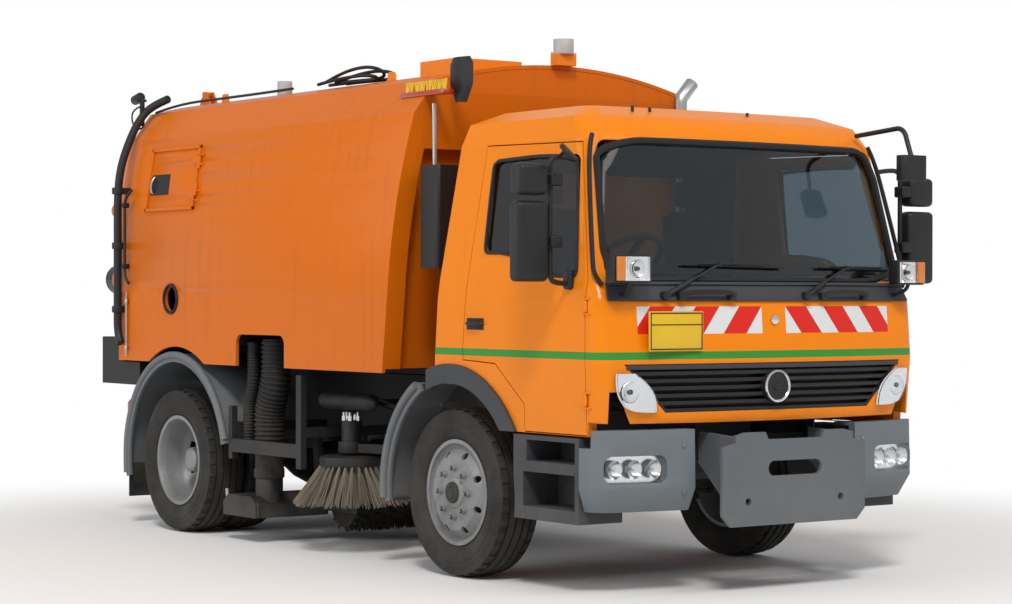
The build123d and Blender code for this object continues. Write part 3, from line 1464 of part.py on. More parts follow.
with BuildPart() as ram_barrel:
    with BuildSketch(ram_plane(40)):
        Circle(ram_radius)
    extrude(amount=ram_barrel_end - 40)
    with BuildSketch(side_plane(-30)):
        with Locations((ram_pivot_aft, ram_pivot_z)):
            Circle(ram_pin_radius + 20)
    extrude(amount=60)
    with BuildSketch(side_plane(-60)):
        with Locations((ram_pivot_aft, ram_pivot_z)):
            Circle(ram_pin_radius + seat_gap)
    extrude(amount=120, mode=Mode.SUBTRACT)
    with BuildSketch(ram_plane(95)):
        Circle(ram_rod_radius + seat_gap)
    extrude(amount=ram_length, mode=Mode.SUBTRACT)
keep(ram_barrel, "ram_barrel")

with BuildPart() as ram_rod:
    with BuildSketch(ram_plane(100)):
        Circle(ram_rod_radius)
    extrude(amount=ram_length - 120)
    with BuildSketch(side_plane(-30)):
        with Locations((ram_eye_aft, ram_eye_z)):
            Circle(ram_eye_radius)
    extrude(amount=60)
    with BuildSketch(side_plane(-60)):
        with Locations((ram_eye_aft, ram_eye_z)):
            Circle(20)
    extrude(amount=120, mode=Mode.SUBTRACT)
keep(ram_rod, "ram_rod")

# ---- sweeping gear on the right ------------------------------------------------------------------
nozzle_inner_x = -600
nozzle_outer_x = -1140
nozzle_front_aft = wheelbase - 1060
nozzle_rear_aft = wheelbase - 640
nozzle_foot_z = 165
nozzle_top_z = 300
nozzle_arm_x = -640
arm_aft = nozzle_front_aft + 70
hose_bar_aft = arm_aft + 170
hose_bar_z = 620
hose_radius = 98
hose_x = -985
hose_foot_aft = nozzle_front_aft + 95
hose_head_aft = nozzle_front_aft + 5
thin_hose_radius = 42
thin_hose_x = -1050
thin_hose_head_aft = inlet_rear_aft - 55
hose_top_z = inlet_top_z - 30
side_bar_x = -1140
side_bar_width = 40
hose_bar_end_x = side_bar_x + side_bar_width + seat_gap
with BuildPart() as suction_nozzle:
    with BuildSketch(side_plane(nozzle_outer_x)):
        with BuildLine():
            Polyline((nozzle_front_aft, nozzle_foot_z), (nozzle_front_aft, 250), (nozzle_front_aft + 60, nozzle_top_z),
                     (nozzle_rear_aft - 60, nozzle_top_z), (nozzle_rear_aft, 250),
                     (nozzle_rear_aft, nozzle_foot_z), close=True)
        make_face()
    extrude(amount=nozzle_inner_x - nozzle_outer_x)
    with BuildSketch(Plane.XY.offset(nozzle_foot_z)):
        with Locations(((nozzle_inner_x + nozzle_outer_x) / 2, aft((nozzle_front_aft + nozzle_rear_aft) / 2))):
            Rectangle(nozzle_inner_x - nozzle_outer_x - 40, nozzle_rear_aft - nozzle_front_aft - 60)
    extrude(amount=85, mode=Mode.SUBTRACT)
    with BuildSketch(Plane.XY.offset(250)):
        with Locations((hose_x, aft(hose_foot_aft))):
            Circle(hose_radius - 10)
    extrude(amount=160)
    with BuildSketch(Plane.XY.offset(240)):
        with Locations((hose_x, aft(hose_foot_aft))):
            Circle(hose_radius - 24)
    extrude(amount=180, mode=Mode.SUBTRACT)
    # lifting arm to the frame, with a spur for the bar that carries the thin hose
    with BuildSketch(side_plane(nozzle_arm_x)):
        with BuildLine():
            Polyline(
                (arm_aft - 30, nozzle_top_z - 10), (arm_aft + 30, nozzle_top_z - 10), (arm_aft + 60, hose_bar_z - 30),
                (hose_bar_aft + 25, hose_bar_z - 30), (hose_bar_aft + 25, hose_bar_z + 30),
                (arm_aft + 60, hose_bar_z + 30), (arm_aft + 60, rail_bottom + 40), (arm_aft, rail_bottom + 40),
                (arm_aft, hose_bar_z), close=True,
            )
        make_face()
    extrude(amount=40)
    with BuildSketch(side_plane(-rail_outer_x - seat_gap)):
        with Locations((arm_aft + 30, rail_bottom + 20)):
            Rectangle(60, 40)
    extrude(amount=nozzle_arm_x + 10 + rail_outer_x + seat_gap)
    with BuildSketch(side_plane(hose_bar_end_x)):
        with Locations((hose_bar_aft, hose_bar_z)):
            Rectangle(40, 50)
    extrude(amount=nozzle_arm_x + 10 - hose_bar_end_x)
keep(suction_nozzle, "suction_nozzle")

# hoses from the nozzle up into the inlet chamber: x, foot aft, foot z, lower bend, upper bend, head aft, radius
hose_runs = (
    (hose_x, hose_foot_aft, 411, 600, 900, hose_head_aft, hose_radius, 450),
    (thin_hose_x, hose_bar_aft, hose_bar_z + 28, 850, 1060, thin_hose_head_aft, thin_hose_radius, 250),
)
with BuildPart() as suction_hoses:
    for x, foot_aft, foot_z, low_bend, high_bend, head_aft, radius, bend in hose_runs:
        with BuildLine():
            FilletPolyline(
                (x, aft(foot_aft), foot_z), (x, aft(foot_aft), low_bend), (x, aft(head_aft), high_bend),
                (x, aft(head_aft), hose_top_z), radius=bend,
            )
        with BuildSketch(Plane(origin=(x, aft(foot_aft), foot_z), z_dir=(0, 0, 1))):
            Circle(radius)
        sweep()
keep(suction_hoses, "suction_hoses")

# Side frame round the sweeping gear: a bar along the side on two posts, each tied to the rail, and the
# slender air tank above the brush.
side_bar_foot_z = 575
side_bar_top_z = 660
side_front_aft = 1640
side_rear_aft = wheelbase - 710
# posts: first aft, last aft, foot, top
side_posts = (
    (side_front_aft, side_front_aft + 60, 510, 1090),
    (side_rear_aft - 45, side_rear_aft, 530, 870),
)
tie_foot_z = 705
tie_top_z = 765
air_tank = (-900, 930, 1150, 1800, 52)     # x, z, first aft, last aft, radius
with BuildPart() as side_frame:
    with BuildSketch(side_plane(side_bar_x)):
        with Locations(((side_front_aft + side_rear_aft) / 2, (side_bar_foot_z + side_bar_top_z) / 2)):
            Rectangle(side_rear_aft - side_front_aft, side_bar_top_z - side_bar_foot_z)
        for front, rear, foot, top in side_posts:
            with Locations(((front + rear) / 2, (foot + top) / 2)):
                Rectangle(rear - front, top - foot)
    extrude(amount=side_bar_width)
    for front, rear, foot, top in side_posts:
        with BuildSketch(side_plane(side_bar_x + side_bar_width - 5)):
            with Locations(((front + rear) / 2, (tie_foot_z + tie_top_z) / 2)):
                Rectangle(rear - front - 5, tie_top_z - tie_foot_z)
        extrude(amount=-rail_outer_x - seat_gap - side_bar_x - side_bar_width + 5)
    tank_x, tank_z, tank_front, tank_rear, tank_radius = air_tank
    with BuildSketch(side_plane(tank_x)):
        with BuildLine():
            Polyline(
                (tank_front, tank_z), (tank_front, tank_z + 15), (tank_front + 60, tank_z + tank_radius),
                (tank_rear - 60, tank_z + tank_radius), (tank_rear, tank_z + 15), (tank_rear, tank_z), close=True,
            )
        make_face()
    revolve(axis=Axis((tank_x, aft(0), tank_z), (0, 1, 0)))
    with BuildSketch(side_plane(tank_x)):
        with Locations(((tank_front + tank_rear) / 2, tank_z - 10)):
            Rectangle(50, 36)
    extrude(amount=-rail_outer_x - seat_gap - tank_x)
keep(side_frame, "side_frame")

arm_pin_radius = 18
with BuildPart() as brush_mount:
    with BuildSketch(Plane.XY.offset(rail_bottom - 10)):
        with Locations(((brush_arm_x - rail_outer_x - seat_gap) / 2 - 20, aft(brush_arm_aft))):
            Rectangle(-brush_arm_x - rail_outer_x - seat_gap + 40, 110)
    extrude(amount=110)
    with BuildSketch(Plane.XY.offset(560)):
        with Locations((brush_arm_x, aft(brush_arm_aft))):
            Circle(arm_pin_radius)
    extrude(amount=140)
    with BuildSketch(Plane.XY.offset(560)):
        with Locations((brush_arm_x, aft(brush_arm_aft))):
            Circle(arm_pin_radius + 14)
    extrude(amount=12)
keep(brush_mount, "brush_mount")

brush_shaft_radius = 22
with BuildPart() as brush_arm:
    with BuildSketch(Plane.XY.offset(573)):
        with Locations((brush_arm_x, aft(brush_arm_aft))):
            Circle(44)
    extrude(amount=100)
    with BuildSketch(Plane.XY.offset(615)):
        with BuildLine():
            Polyline(
                (brush_arm_x - 24, aft(brush_arm_aft) - 10), (brush_arm_x + 30, aft(brush_arm_aft) + 20),
                (brush_x + 45, aft(brush_aft) + 20), (brush_x - 30, aft(brush_aft) - 30), close=True,
            )
        make_face()
    extrude(amount=55)
    with BuildSketch(Plane.XY.offset(612)):
        with Locations((brush_x, aft(brush_aft))):
            Circle(82)
    extrude(amount=70)
    with BuildSketch(Plane.XY.offset(680)):
        with Locations((brush_x, aft(brush_aft))):
            Circle(62)
    extrude(amount=130)
    with BuildSketch(Plane.XY.offset(560)):
        with Locations((brush_x, aft(brush_aft))):
            Circle(brush_shaft_radius)
    extrude(amount=60)
    with BuildSketch(Plane.XY.offset(540)):
        with Locations((brush_arm_x, aft(brush_arm_aft))):
            Circle(arm_pin_radius + seat_gap)
    extrude(amount=140, mode=Mode.SUBTRACT)
keep(brush_arm, "brush_arm")

plate_radius = 200
with BuildPart() as side_brush:
    with BuildSketch(Plane(origin=(brush_x, aft(brush_aft), 0), x_dir=(1, 0, 0), z_dir=(0, -1, 0))):
        with BuildLine():
            Polyline(
                (brush_shaft_radius + seat_gap, brush_plate_z - 24), (brush_shaft_radius + seat_gap, brush_plate_z + 18),
                (60, brush_plate_z + 18), (66, brush_plate_z + 8), (plate_radius - 10, brush_plate_z + 8),
                (plate_radius, brush_plate_z - 4), (plate_radius, brush_plate_z - 58),
                (brush_radius, brush_tip_z + 10), (brush_radius - 6, brush_tip_z), (brush_radius - 160, brush_tip_z),
                (plate_radius - 90, brush_plate_z - 58), (plate_radius - 90, brush_plate_z - 24), close=True,
            )
        make_face()
    revolve(axis=Axis((brush_x, aft(brush_aft), 0), (0, 0, 1)))
keep(side_brush, "side_brush")

roller_right_x = -540
roller_left_x = 850
hood_gap = 18
hood_thickness = 14
roller_shaft_radius = 24
with BuildPart() as roller_hood:
    with BuildSketch(side_plane(roller_right_x - 30)):
        with Locations((roller_aft, roller_z)):
            Circle(roller_radius + hood_gap + hood_thickness)
            Circle(roller_radius + hood_gap, mode=Mode.SUBTRACT)
            with Locations((0, -400 + 20)):
                Rectangle(1000, 800, mode=Mode.SUBTRACT)
    extrude(amount=roller_left_x - roller_right_x + 60)
    for x in (roller_right_x - 30, roller_left_x + 14):
        with BuildSketch(side_plane(x)):
            with Locations((roller_aft, roller_z)):
                Circle(roller_radius + hood_gap + 2)
                with Locations((0, -400 - 60)):
                    Rectangle(1000, 800, mode=Mode.SUBTRACT)
                Circle(roller_shaft_radius + seat_gap, mode=Mode.SUBTRACT)
        extrude(amount=16)
    for side in (-1, 1):
        with BuildSketch(side_plane(side * spring_x - 20)):
            with BuildLine():
                Polyline((roller_aft - 60, 440), (roller_aft - 35, rail_bottom - seat_gap),
                         (roller_aft + 35, rail_bottom - seat_gap), (roller_aft + 60, 440), close=True)
            make_face()
            with Locations((roller_aft, roller_z)):
                Circle(roller_radius + hood_gap + 4, mode=Mode.SUBTRACT)
        extrude(amount=40)
keep(roller_hood, "roller_hood")

with BuildPart() as roller_brush:
    with BuildSketch(side_plane(roller_right_x)):
        with Locations((roller_aft, roller_z)):
            Circle(roller_radius)
    extrude(amount=roller_left_x - roller_right_x)
    with BuildSketch(side_plane(roller_right_x - 30)):
        with Locations((roller_aft, roller_z)):
            Circle(roller_shaft_radius)
    extrude(amount=roller_left_x - roller_right_x + 60)
keep(roller_brush, "roller_brush")

# ---- mirrors -------------------------------------------------------------------------------------
# Side mirrors stand on the doors' front corners: a bent tube with a large and a wide-angle housing.
mirror_x = 1400
mirror_aft = -1105
mirror_tube_radius = 14
# housings: middle height, height, width, depth
mirror_housings = (
    (1868, 420, 205, 95),
    (2190, 165, 185, 110),
)
mirror_foot_z = 1690
mirror_head_z = 2290
door_skin_foot_x = 1130
door_skin_head_x = 1058
mirror_tube_x = 1265
kerb_foot = (-mirror_tube_x, aft(mirror_aft), 2322)
kerb_centre = (-1250, aft(mirror_aft - 140), 2325)
kerb_facing = (-0.5, 0.5, -0.7)
kerb_radius = 60
for side, name in ((-1, "right"), (1, "left")):
    with BuildPart() as mirror:
        for middle, height, width, depth in mirror_housings:
            with BuildSketch(Plane.XY.offset(middle - height / 2)):
                with Locations((side * mirror_x, aft(mirror_aft))):
                    RectangleRounded(width, depth, 40)
            extrude(amount=height)
        with BuildLine():
            FilletPolyline(
                (side * (door_skin_foot_x + 12), aft(mirror_aft), mirror_foot_z - 40),
                (side * mirror_tube_x, aft(mirror_aft), mirror_foot_z - 60),
                (side * mirror_tube_x, aft(mirror_aft), 2330),
                (side * (door_skin_head_x + 15), aft(mirror_aft), mirror_head_z), radius=45,
            )
        with BuildSketch(Plane(origin=(side * (door_skin_foot_x + 12), aft(mirror_aft), mirror_foot_z - 40),
                               z_dir=(side * 123, 0, -20))):
            Circle(mirror_tube_radius)
        sweep()
        for z in (1760, 1975, 2190):
            with BuildSketch(side_plane(side * mirror_tube_x)):
                with Locations((mirror_aft, z)):
                    Rectangle(34, 44)
            extrude(amount=side * 60)
        with BuildSketch(side_plane(side * (door_skin_foot_x + 1))):
            with Locations((mirror_aft, mirror_foot_z - 40)):
                Circle(34)
        extrude(amount=side * 16)
        with BuildSketch(side_plane(side * (door_skin_head_x - 3))):
            with Locations((mirror_aft, mirror_head_z)):
                Circle(28)
        extrude(amount=side * 22)
        if side == -1:
            # kerb mirror ahead of the tube's head
            with BuildSketch(rod_plane(kerb_foot, kerb_centre)):
                Circle(mirror_tube_radius - 2)
            extrude(amount=(Vector(*kerb_centre) - Vector(*kerb_foot)).length)
            with BuildSketch(Plane(origin=kerb_centre, z_dir=kerb_facing)):
                Circle(kerb_radius)
            extrude(amount=24, both=True)
        add(cab_clearance, mode=Mode.SUBTRACT)
    keep(mirror, f"mirror_{name}")

# Front mirror on a curved arm from the left roof corner: how far it reaches out, ahead and down, half width
front_mirror = (905, -1560, 2300, 92)
corner_foot = (900, aft(-1120), 2500)
with BuildPart() as roof_mirrors:
    reach_x, reach_aft, drop_z, half_width = front_mirror
    arm_bend = ((corner_foot[0] + reach_x) / 2, aft(reach_aft + 60), corner_foot[2] + 30)
    with BuildLine():
        FilletPolyline(corner_foot, arm_bend, (reach_x, aft(reach_aft), drop_z + 60), radius=70)
    with BuildSketch(rod_plane(corner_foot, arm_bend)):
        Circle(mirror_tube_radius)
    sweep()
    with BuildSketch(Plane.XY.offset(drop_z - 70)):
        with Locations((reach_x, aft(reach_aft))):
            RectangleRounded(2 * half_width, 90, 35)
    extrude(amount=140)
    add(cab_clearance, mode=Mode.SUBTRACT)
keep(roof_mirrors, "roof_mirrors")
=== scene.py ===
# %% [markdown]
# # Street sweeper truck
# The CAD frame holds every part at its real size. This script dresses it: it gives each part the
# finish of the real one and models what CAD leaves out, such as tyre tread, lamps, wipers, hose
# ribs and bristles. Everything is in metres, the front of the truck faces -Y and its right side -X.

# %% Load the frame
import bpy
import math
import random
from mathutils import Matrix, Vector


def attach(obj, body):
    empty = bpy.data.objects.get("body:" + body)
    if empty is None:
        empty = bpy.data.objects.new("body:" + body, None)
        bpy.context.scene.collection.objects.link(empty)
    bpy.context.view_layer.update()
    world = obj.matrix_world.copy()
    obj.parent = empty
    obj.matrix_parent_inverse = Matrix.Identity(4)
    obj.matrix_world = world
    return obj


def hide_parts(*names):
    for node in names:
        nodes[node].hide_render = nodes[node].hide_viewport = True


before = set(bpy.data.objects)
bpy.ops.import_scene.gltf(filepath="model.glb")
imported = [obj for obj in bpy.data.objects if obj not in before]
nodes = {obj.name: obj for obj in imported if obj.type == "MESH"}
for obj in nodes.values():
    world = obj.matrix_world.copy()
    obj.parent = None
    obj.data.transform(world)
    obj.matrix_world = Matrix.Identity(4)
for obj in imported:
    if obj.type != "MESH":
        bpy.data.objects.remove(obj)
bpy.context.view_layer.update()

FRONT_AXLE_Y = -1.4415
WHEELBASE = 3.26
REAR_AXLE_Y = FRONT_AXLE_Y + WHEELBASE
AXLE_Z = 0.478
SIDES = ((-1, "right"), (1, "left"))  # sign of x, word


def aft(distance):
    """y of a point this far behind the front axle, in metres."""
    return FRONT_AXLE_Y + distance


def places(*points):
    """Points given by x, distance behind the front axle, and z."""
    return [(x, aft(distance), z) for x, distance, z in points]


# %% [markdown]
# ## Camera
# A truck this long is looked at from well back with a long lens, so that its sides stay nearly
# parallel. The camera stands at chest height off the front right corner. Its axes are worked out
# from a heading, a tilt and a slight roll, and set as a matrix, which leaves no doubt about the
# order of turns.

# %% Camera
FRAME_WIDTH, FRAME_HEIGHT = 1012, 604
FOCAL = 2454.0  # in pixels of the frame
CENTRE = (514.68, 308.30)  # where the lens axis meets the frame
eye = Vector((-8.8718, -12.8405, 1.5961))
heading, tilt, roll = 0.6221, -0.006, 0.0018
forward = Vector((math.sin(heading) * math.cos(tilt), math.cos(heading) * math.cos(tilt), math.sin(tilt)))
level_right = Vector((math.cos(heading), -math.sin(heading), 0))
level_up = level_right.cross(forward)
right = level_right * math.cos(roll) + level_up * math.sin(roll)
up = level_up * math.cos(roll) - level_right * math.sin(roll)

camera_data = bpy.data.cameras.new("camera")
camera_data.sensor_width = 36
camera_data.lens = FOCAL * 36 / FRAME_WIDTH
camera_data.shift_x = (FRAME_WIDTH / 2 - CENTRE[0]) / FRAME_WIDTH
camera_data.shift_y = (CENTRE[1] - FRAME_HEIGHT / 2) / FRAME_WIDTH
camera_data.clip_end = 200
camera = bpy.data.objects.new("camera", camera_data)
bpy.context.scene.collection.objects.link(camera)
axes = Matrix((right, up, -forward)).transposed()
camera.matrix_world = Matrix.Translation(eye) @ axes.to_4x4()
bpy.context.scene.camera = camera
bpy.context.scene.view_settings.view_transform = "Standard"
print("camera:", round((eye - Vector((0, 0, 1))).length, 2), "m from the truck's middle")

# %% [markdown]
# ## Working by hand, in code
# Operators act on whatever is selected, so each piece starts from an empty selection. A few small
# helpers keep the steps short: one starts a piece, one applies a modifier, and one ends a piece
# with its name, finish, body and material slot. Pieces are added at their place and then have that
# place applied, so that every finished object sits at the origin.

# %% Helpers for one piece
finishes = {}  # material by name, filled further down


def deselect():
    """Nothing is selected and nothing is in edit mode."""
    if bpy.context.object and bpy.context.object.mode != "OBJECT":
        bpy.ops.object.mode_set(mode="OBJECT")
    bpy.ops.object.select_all(action="DESELECT")


def pick(obj):
    """Only obj is selected, and it is the active object."""
    deselect()
    obj.select_set(True)
    bpy.context.view_layer.objects.active = obj
    return obj


def apply_place(obj):
    """The object moves to the origin and its mesh stays where it is."""
    pick(obj)
    bpy.ops.object.transform_apply(location=True, rotation=True, scale=True)
    return obj


def modify(obj, kind, **settings):
    """Adds one modifier and applies it."""
    pick(obj)
    modifier = obj.modifiers.new(kind.lower(), kind)
    for key, value in settings.items():
        setattr(modifier, key, value)
    bpy.ops.object.modifier_apply(modifier=modifier.name)
    return obj


def rounded(obj, width, angle=50):
    """Bevels the edges that are sharper than an angle."""
    if not width:
        return obj
    limit = {"limit_method": "ANGLE", "angle_limit": math.radians(angle)}
    return modify(obj, "BEVEL", width=width, segments=2, **limit)


def whole_mesh(obj, operator, **settings):
    """Runs one edit operator on all of a mesh."""
    pick(obj)
    bpy.ops.object.mode_set(mode="EDIT")
    bpy.ops.mesh.select_all(action="SELECT")
    operator(**settings)
    bpy.ops.object.mode_set(mode="OBJECT")


def finish_piece(obj, name, finish, body, smooth=35):
    """Ends a piece: place applied, named, smoothed by angle, with its finish, body and slot."""
    apply_place(obj)
    obj.name = name
    obj.data.name = name
    bpy.ops.object.shade_smooth_by_angle(angle=math.radians(smooth))
    obj.data.materials.clear()
    obj.data.materials.append(finishes[finish])
    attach(obj, body)
    print(f"{name}: {len(obj.data.polygons)} faces, rides on {body}")
    return obj


def joined(parts):
    """Several mesh objects made into one."""
    deselect()
    for part in parts:
        part.select_set(True)
    bpy.context.view_layer.objects.active = parts[0]
    bpy.ops.object.join()
    return bpy.context.object


# %% [markdown]
# ## Shapes to start from
# A truck is mostly folded boxes, round bars, bent tubes and turned parts. Each gets a helper that
# starts from one primitive or curve: a block with rounded edges, a bar from foot to head, a tube
# that follows a smooth line, and a profile that is extruded point by point and spun round an axis.


# %% Blocks and bars
def block(low, high, edge=0.004, steps=2):
    """A box between two corners with its edges rounded."""
    deselect()
    size = [b - a for a, b in zip(low, high)]
    bpy.ops.mesh.primitive_cube_add(size=1, location=[(a + b) / 2 for a, b in zip(low, high)])
    bpy.ops.transform.resize(value=size)
    obj = apply_place(bpy.context.object)
    if edge:
        modify(obj, "BEVEL", width=edge, segments=steps)
    return obj


def cube(middle, half, edge):
    """A rounded cube round its middle."""
    return block([v - half for v in middle], [v + half for v in middle], edge)


def cylinder(foot, head, radius, sides=32, edge=0.0, head_radius=None):
    """A round bar or cone from foot to head with its rims rounded."""
    deselect()
    foot, head = Vector(foot), Vector(head)
    span = head - foot
    turn = Vector((0, 0, 1)).rotation_difference(span).to_euler()
    top = radius if head_radius is None else head_radius
    bpy.ops.mesh.primitive_cone_add(
        vertices=sides, radius1=radius, radius2=top, depth=span.length, location=(foot + head) / 2,
        rotation=turn,
    )
    return rounded(apply_place(bpy.context.object), edge)


# %% Shaped sheets
def shaped_grid(across, up, place):
    """A grid whose points are set by a function of their shares across and up, from 0 to 1."""
    deselect()
    bpy.ops.mesh.primitive_grid_add(x_subdivisions=across, y_subdivisions=up, size=1)
    obj = bpy.context.object
    for vertex in obj.data.vertices:
        vertex.co = place(vertex.co.x + 0.5, vertex.co.y + 0.5)
    return obj


# %% Tubes
def smooth_line(points, radius=0.0, sides=10, order=3, smoothness=4, closed=False):
    """A curve object: one NURBS line led by points, as thick as its radius says."""
    deselect()
    data = bpy.data.curves.new("line", "CURVE")
    data.dimensions = "3D"
    spline = data.splines.new("NURBS")
    spline.points.add(len(points) - 1)
    for point, place in zip(spline.points, points):
        point.co = (*place, 1)
    spline.order_u = min(order, len(points))
    spline.use_endpoint_u = not closed
    spline.use_cyclic_u = closed
    data.resolution_u = smoothness
    data.bevel_depth = radius
    data.bevel_resolution = max(1, sides // 4 - 1)
    data.use_fill_caps = not closed
    obj = bpy.data.objects.new("line", data)
    bpy.context.scene.collection.objects.link(obj)
    return obj


def tube(points, radius, **shape):
    """A bent round tube, or a closed bead, made a mesh."""
    pick(smooth_line(points, radius, **shape))
    bpy.ops.object.convert(target="MESH")
    return bpy.context.object


def line_of(points):
    """Points along the NURBS line through a route, as Blender evaluates it."""
    obj = smooth_line(points, smoothness=24)
    bpy.context.view_layer.update()
    mesh = bpy.data.meshes.new_from_object(obj)
    line = [vertex.co.copy() for vertex in mesh.vertices]
    bpy.data.objects.remove(obj)
    return line


def free_line(name, route, radius, body):
    """A thin hose or cable between two places on the truck, with its length printed."""
    line = line_of(route)
    length = sum((b - a).length for a, b in zip(line, line[1:]))
    piece = finish_piece(tube(route, radius, sides=12, smoothness=8), name, "hose_rubber", body, smooth=60)
    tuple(route[0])
    [tuple(point) for point in line]
    print(name, round(length, 3), "m")


# %% Turned parts
def spun(profile, middle, axis, steps):
    """A part turned round an axis, X, Y or Z, through its middle. Each point of the profile is a
    radius and a distance along the axis: the points are extruded one by one and then spun."""
    x, y, z = middle
    if axis == "X":
        points = [(x + along, y, z + radius) for radius, along in profile]
    elif axis == "Y":
        points = [(x + radius, y + along, z) for radius, along in profile]
    else:
        points = [(x + radius, y, z + along) for radius, along in profile]
    deselect()
    bpy.ops.mesh.primitive_plane_add(size=0.001, location=points[0])
    bpy.ops.object.mode_set(mode="EDIT")
    bpy.ops.mesh.select_mode(type="VERT")
    bpy.ops.mesh.select_all(action="SELECT")
    bpy.ops.mesh.merge(type="CENTER")
    for here, there in zip(points, points[1:]):
        step = Vector(there) - Vector(here)
        bpy.ops.mesh.extrude_region_move(TRANSFORM_OT_translate={"value": step})
    bpy.ops.mesh.select_all(action="SELECT")
    direction = [float(letter == axis) for letter in "XYZ"]
    bpy.ops.mesh.spin(steps=steps, angle=2 * math.pi, center=middle, axis=direction)
    bpy.ops.mesh.select_all(action="SELECT")
    bpy.ops.mesh.remove_doubles(threshold=0.0001)
    bpy.ops.mesh.normals_make_consistent(inside=False)
    bpy.ops.object.mode_set(mode="OBJECT")
    return apply_place(bpy.context.object)


# %% Copies
def copy_moved(obj, matrix):
    """A copy with its own mesh, moved by a matrix."""
    twin = obj.copy()
    twin.data = obj.data.copy()
    bpy.context.scene.collection.objects.link(twin)
    twin.data.transform(matrix)
    return twin


# %% [markdown]
# ## Shared effects
# Every surface of a working street sweeper carries dust, more of it low down. That effect is a
# node group, built once: it takes a colour, mixes a dusty colour over it by height and cloudy
# noise, and hands out the colour and the mask. A second group gives a fine surface height for
# Bump nodes, and a third gives runs and smudges down a wall.


# %% Node helpers
def new_group(name, inputs, outputs):
    """A shader node group with its sockets: {name: (socket type, default)}."""
    group = bpy.data.node_groups.new(name, "ShaderNodeTree")
    for key, (kind, value) in inputs.items():
        socket = group.interface.new_socket(key, in_out="INPUT", socket_type="NodeSocket" + kind)
        socket.default_value = value
    for key, kind in outputs.items():
        group.interface.new_socket(key, in_out="OUTPUT", socket_type="NodeSocket" + kind)
    return group, group.nodes.new("NodeGroupInput"), group.nodes.new("NodeGroupOutput")


def feed(tree, socket, value):
    """Links another node's output to a socket, or sets the socket to a plain value."""
    if isinstance(value, bpy.types.NodeSocket):
        tree.links.new(value, socket)
    else:
        socket.default_value = value


def add_node(tree, kind, inputs=None, **settings):
    """One node: settings are its properties, inputs its sockets."""
    node = tree.nodes.new("ShaderNode" + kind)
    for key, value in settings.items():
        setattr(node, key, value)
    for key, value in (inputs or {}).items():
        feed(tree, node.inputs[key], value)
    return node


def mix_colours(tree, mask, under, over):
    """Colour output of a Mix node: over on top of under by mask."""
    node = add_node(tree, "Mix", data_type="RGBA")
    for number, value in ((0, mask), (6, under), (7, over)):
        feed(tree, node.inputs[number], value)
    return node.outputs[2]


def maths(tree, operation, *values):
    """Output of one Math node."""
    node = add_node(tree, "Math", operation=operation)
    for socket, value in zip(node.inputs, values):
        feed(tree, socket, value)
    return node.outputs[0]


def product(tree, first, *others):
    """All the values multiplied together."""
    for other in others:
        first = maths(tree, "MULTIPLY", first, other)
    return first


def object_place(tree):
    """The point on the object that is being shaded, in metres."""
    return add_node(tree, "TexCoord").outputs["Object"]


def noise(tree, place, scale, detail, roughness=0.5):
    """Cloudy values between 0 and 1."""
    inputs = {"Vector": place, "Scale": scale, "Detail": detail, "Roughness": roughness}
    return add_node(tree, "TexNoise", inputs).outputs[0]


def ramp(tree, value, start, end, low=0.0, high=1.0):
    """A value stretched so that start to end becomes low to high."""
    inputs = {"Value": value, "From Min": start, "From Max": end, "To Min": low, "To Max": high}
    return add_node(tree, "MapRange", inputs).outputs[0]


# %% Dust group
DUST = (0.30, 0.25, 0.19, 1)
THICKEST = 0.92  # dust never hides the paint under it altogether
DUSTY_ROUGHNESS = 0.92
tree, given, made = new_group(
    "dust",
    {
        "Color": ("Color", (0.5, 0.5, 0.5, 1)),
        "Dust Color": ("Color", DUST),
        "Amount": ("Float", 0.4),
        "Low": ("Float", 0.1),
        "High": ("Float", 1.2),
        "Base": ("Float", 0.08),
    },
    {"Color": "Color", "Mask": "Float"},
)
place = object_place(tree)
height = add_node(tree, "SeparateXYZ", {"Vector": place}).outputs["Z"]
fall = ramp(tree, height, given.outputs["High"], given.outputs["Low"], given.outputs["Base"])
clouds = ramp(tree, noise(tree, place, 3.1, 7, 0.62), 0.33, 0.68)
specks = ramp(tree, noise(tree, place, 46, 3, 0.6), 0.3, 0.75, 0.55)
mask = maths(tree, "MINIMUM", product(tree, clouds, specks, fall, given.outputs["Amount"]), THICKEST)
dusty = mix_colours(tree, mask, given.outputs["Color"], given.outputs["Dust Color"])
tree.links.new(dusty, made.inputs["Color"])
tree.links.new(mask, made.inputs["Mask"])
dust_group = tree

# %% Fine surface group
tree, given, made = new_group(
    "surface_skin",
    {"Scale": ("Float", 120.0), "Coarse Scale": ("Float", 9.0), "Coarse": ("Float", 0.3)},
    {"Height": "Float", "Tone": "Float"},
)
place = object_place(tree)
fine = noise(tree, place, given.outputs["Scale"], 3)
broad = noise(tree, place, given.outputs["Coarse Scale"], 4, 0.55)
tree.links.new(maths(tree, "ADD", fine, product(tree, broad, given.outputs["Coarse"])), made.inputs["Height"])
tree.links.new(broad, made.inputs["Tone"])
skin_group = tree

# %% Runs and smudges group
tree, given, made = new_group(
    "runs",
    {
        "Color": ("Color", (0.5, 0.5, 0.5, 1)),
        "Stain": ("Color", (0.10, 0.075, 0.05, 1)),
        "Amount": ("Float", 0.25),
    },
    {"Color": "Color"},
)
place = object_place(tree)
stretched = add_node(tree, "Mapping", {"Vector": place, "Scale": (11, 11, 0.55)}).outputs[0]
streaks = ramp(tree, noise(tree, stretched, 1.6, 8, 0.6), 0.52, 0.78)
patches = ramp(tree, noise(tree, place, 1.3, 3), 0.4, 0.65)
mask = product(tree, streaks, patches, given.outputs["Amount"])
tree.links.new(mix_colours(tree, mask, given.outputs["Color"], given.outputs["Stain"]), made.inputs["Color"])
runs_group = tree
print("node groups:", [group.name for group in bpy.data.node_groups])


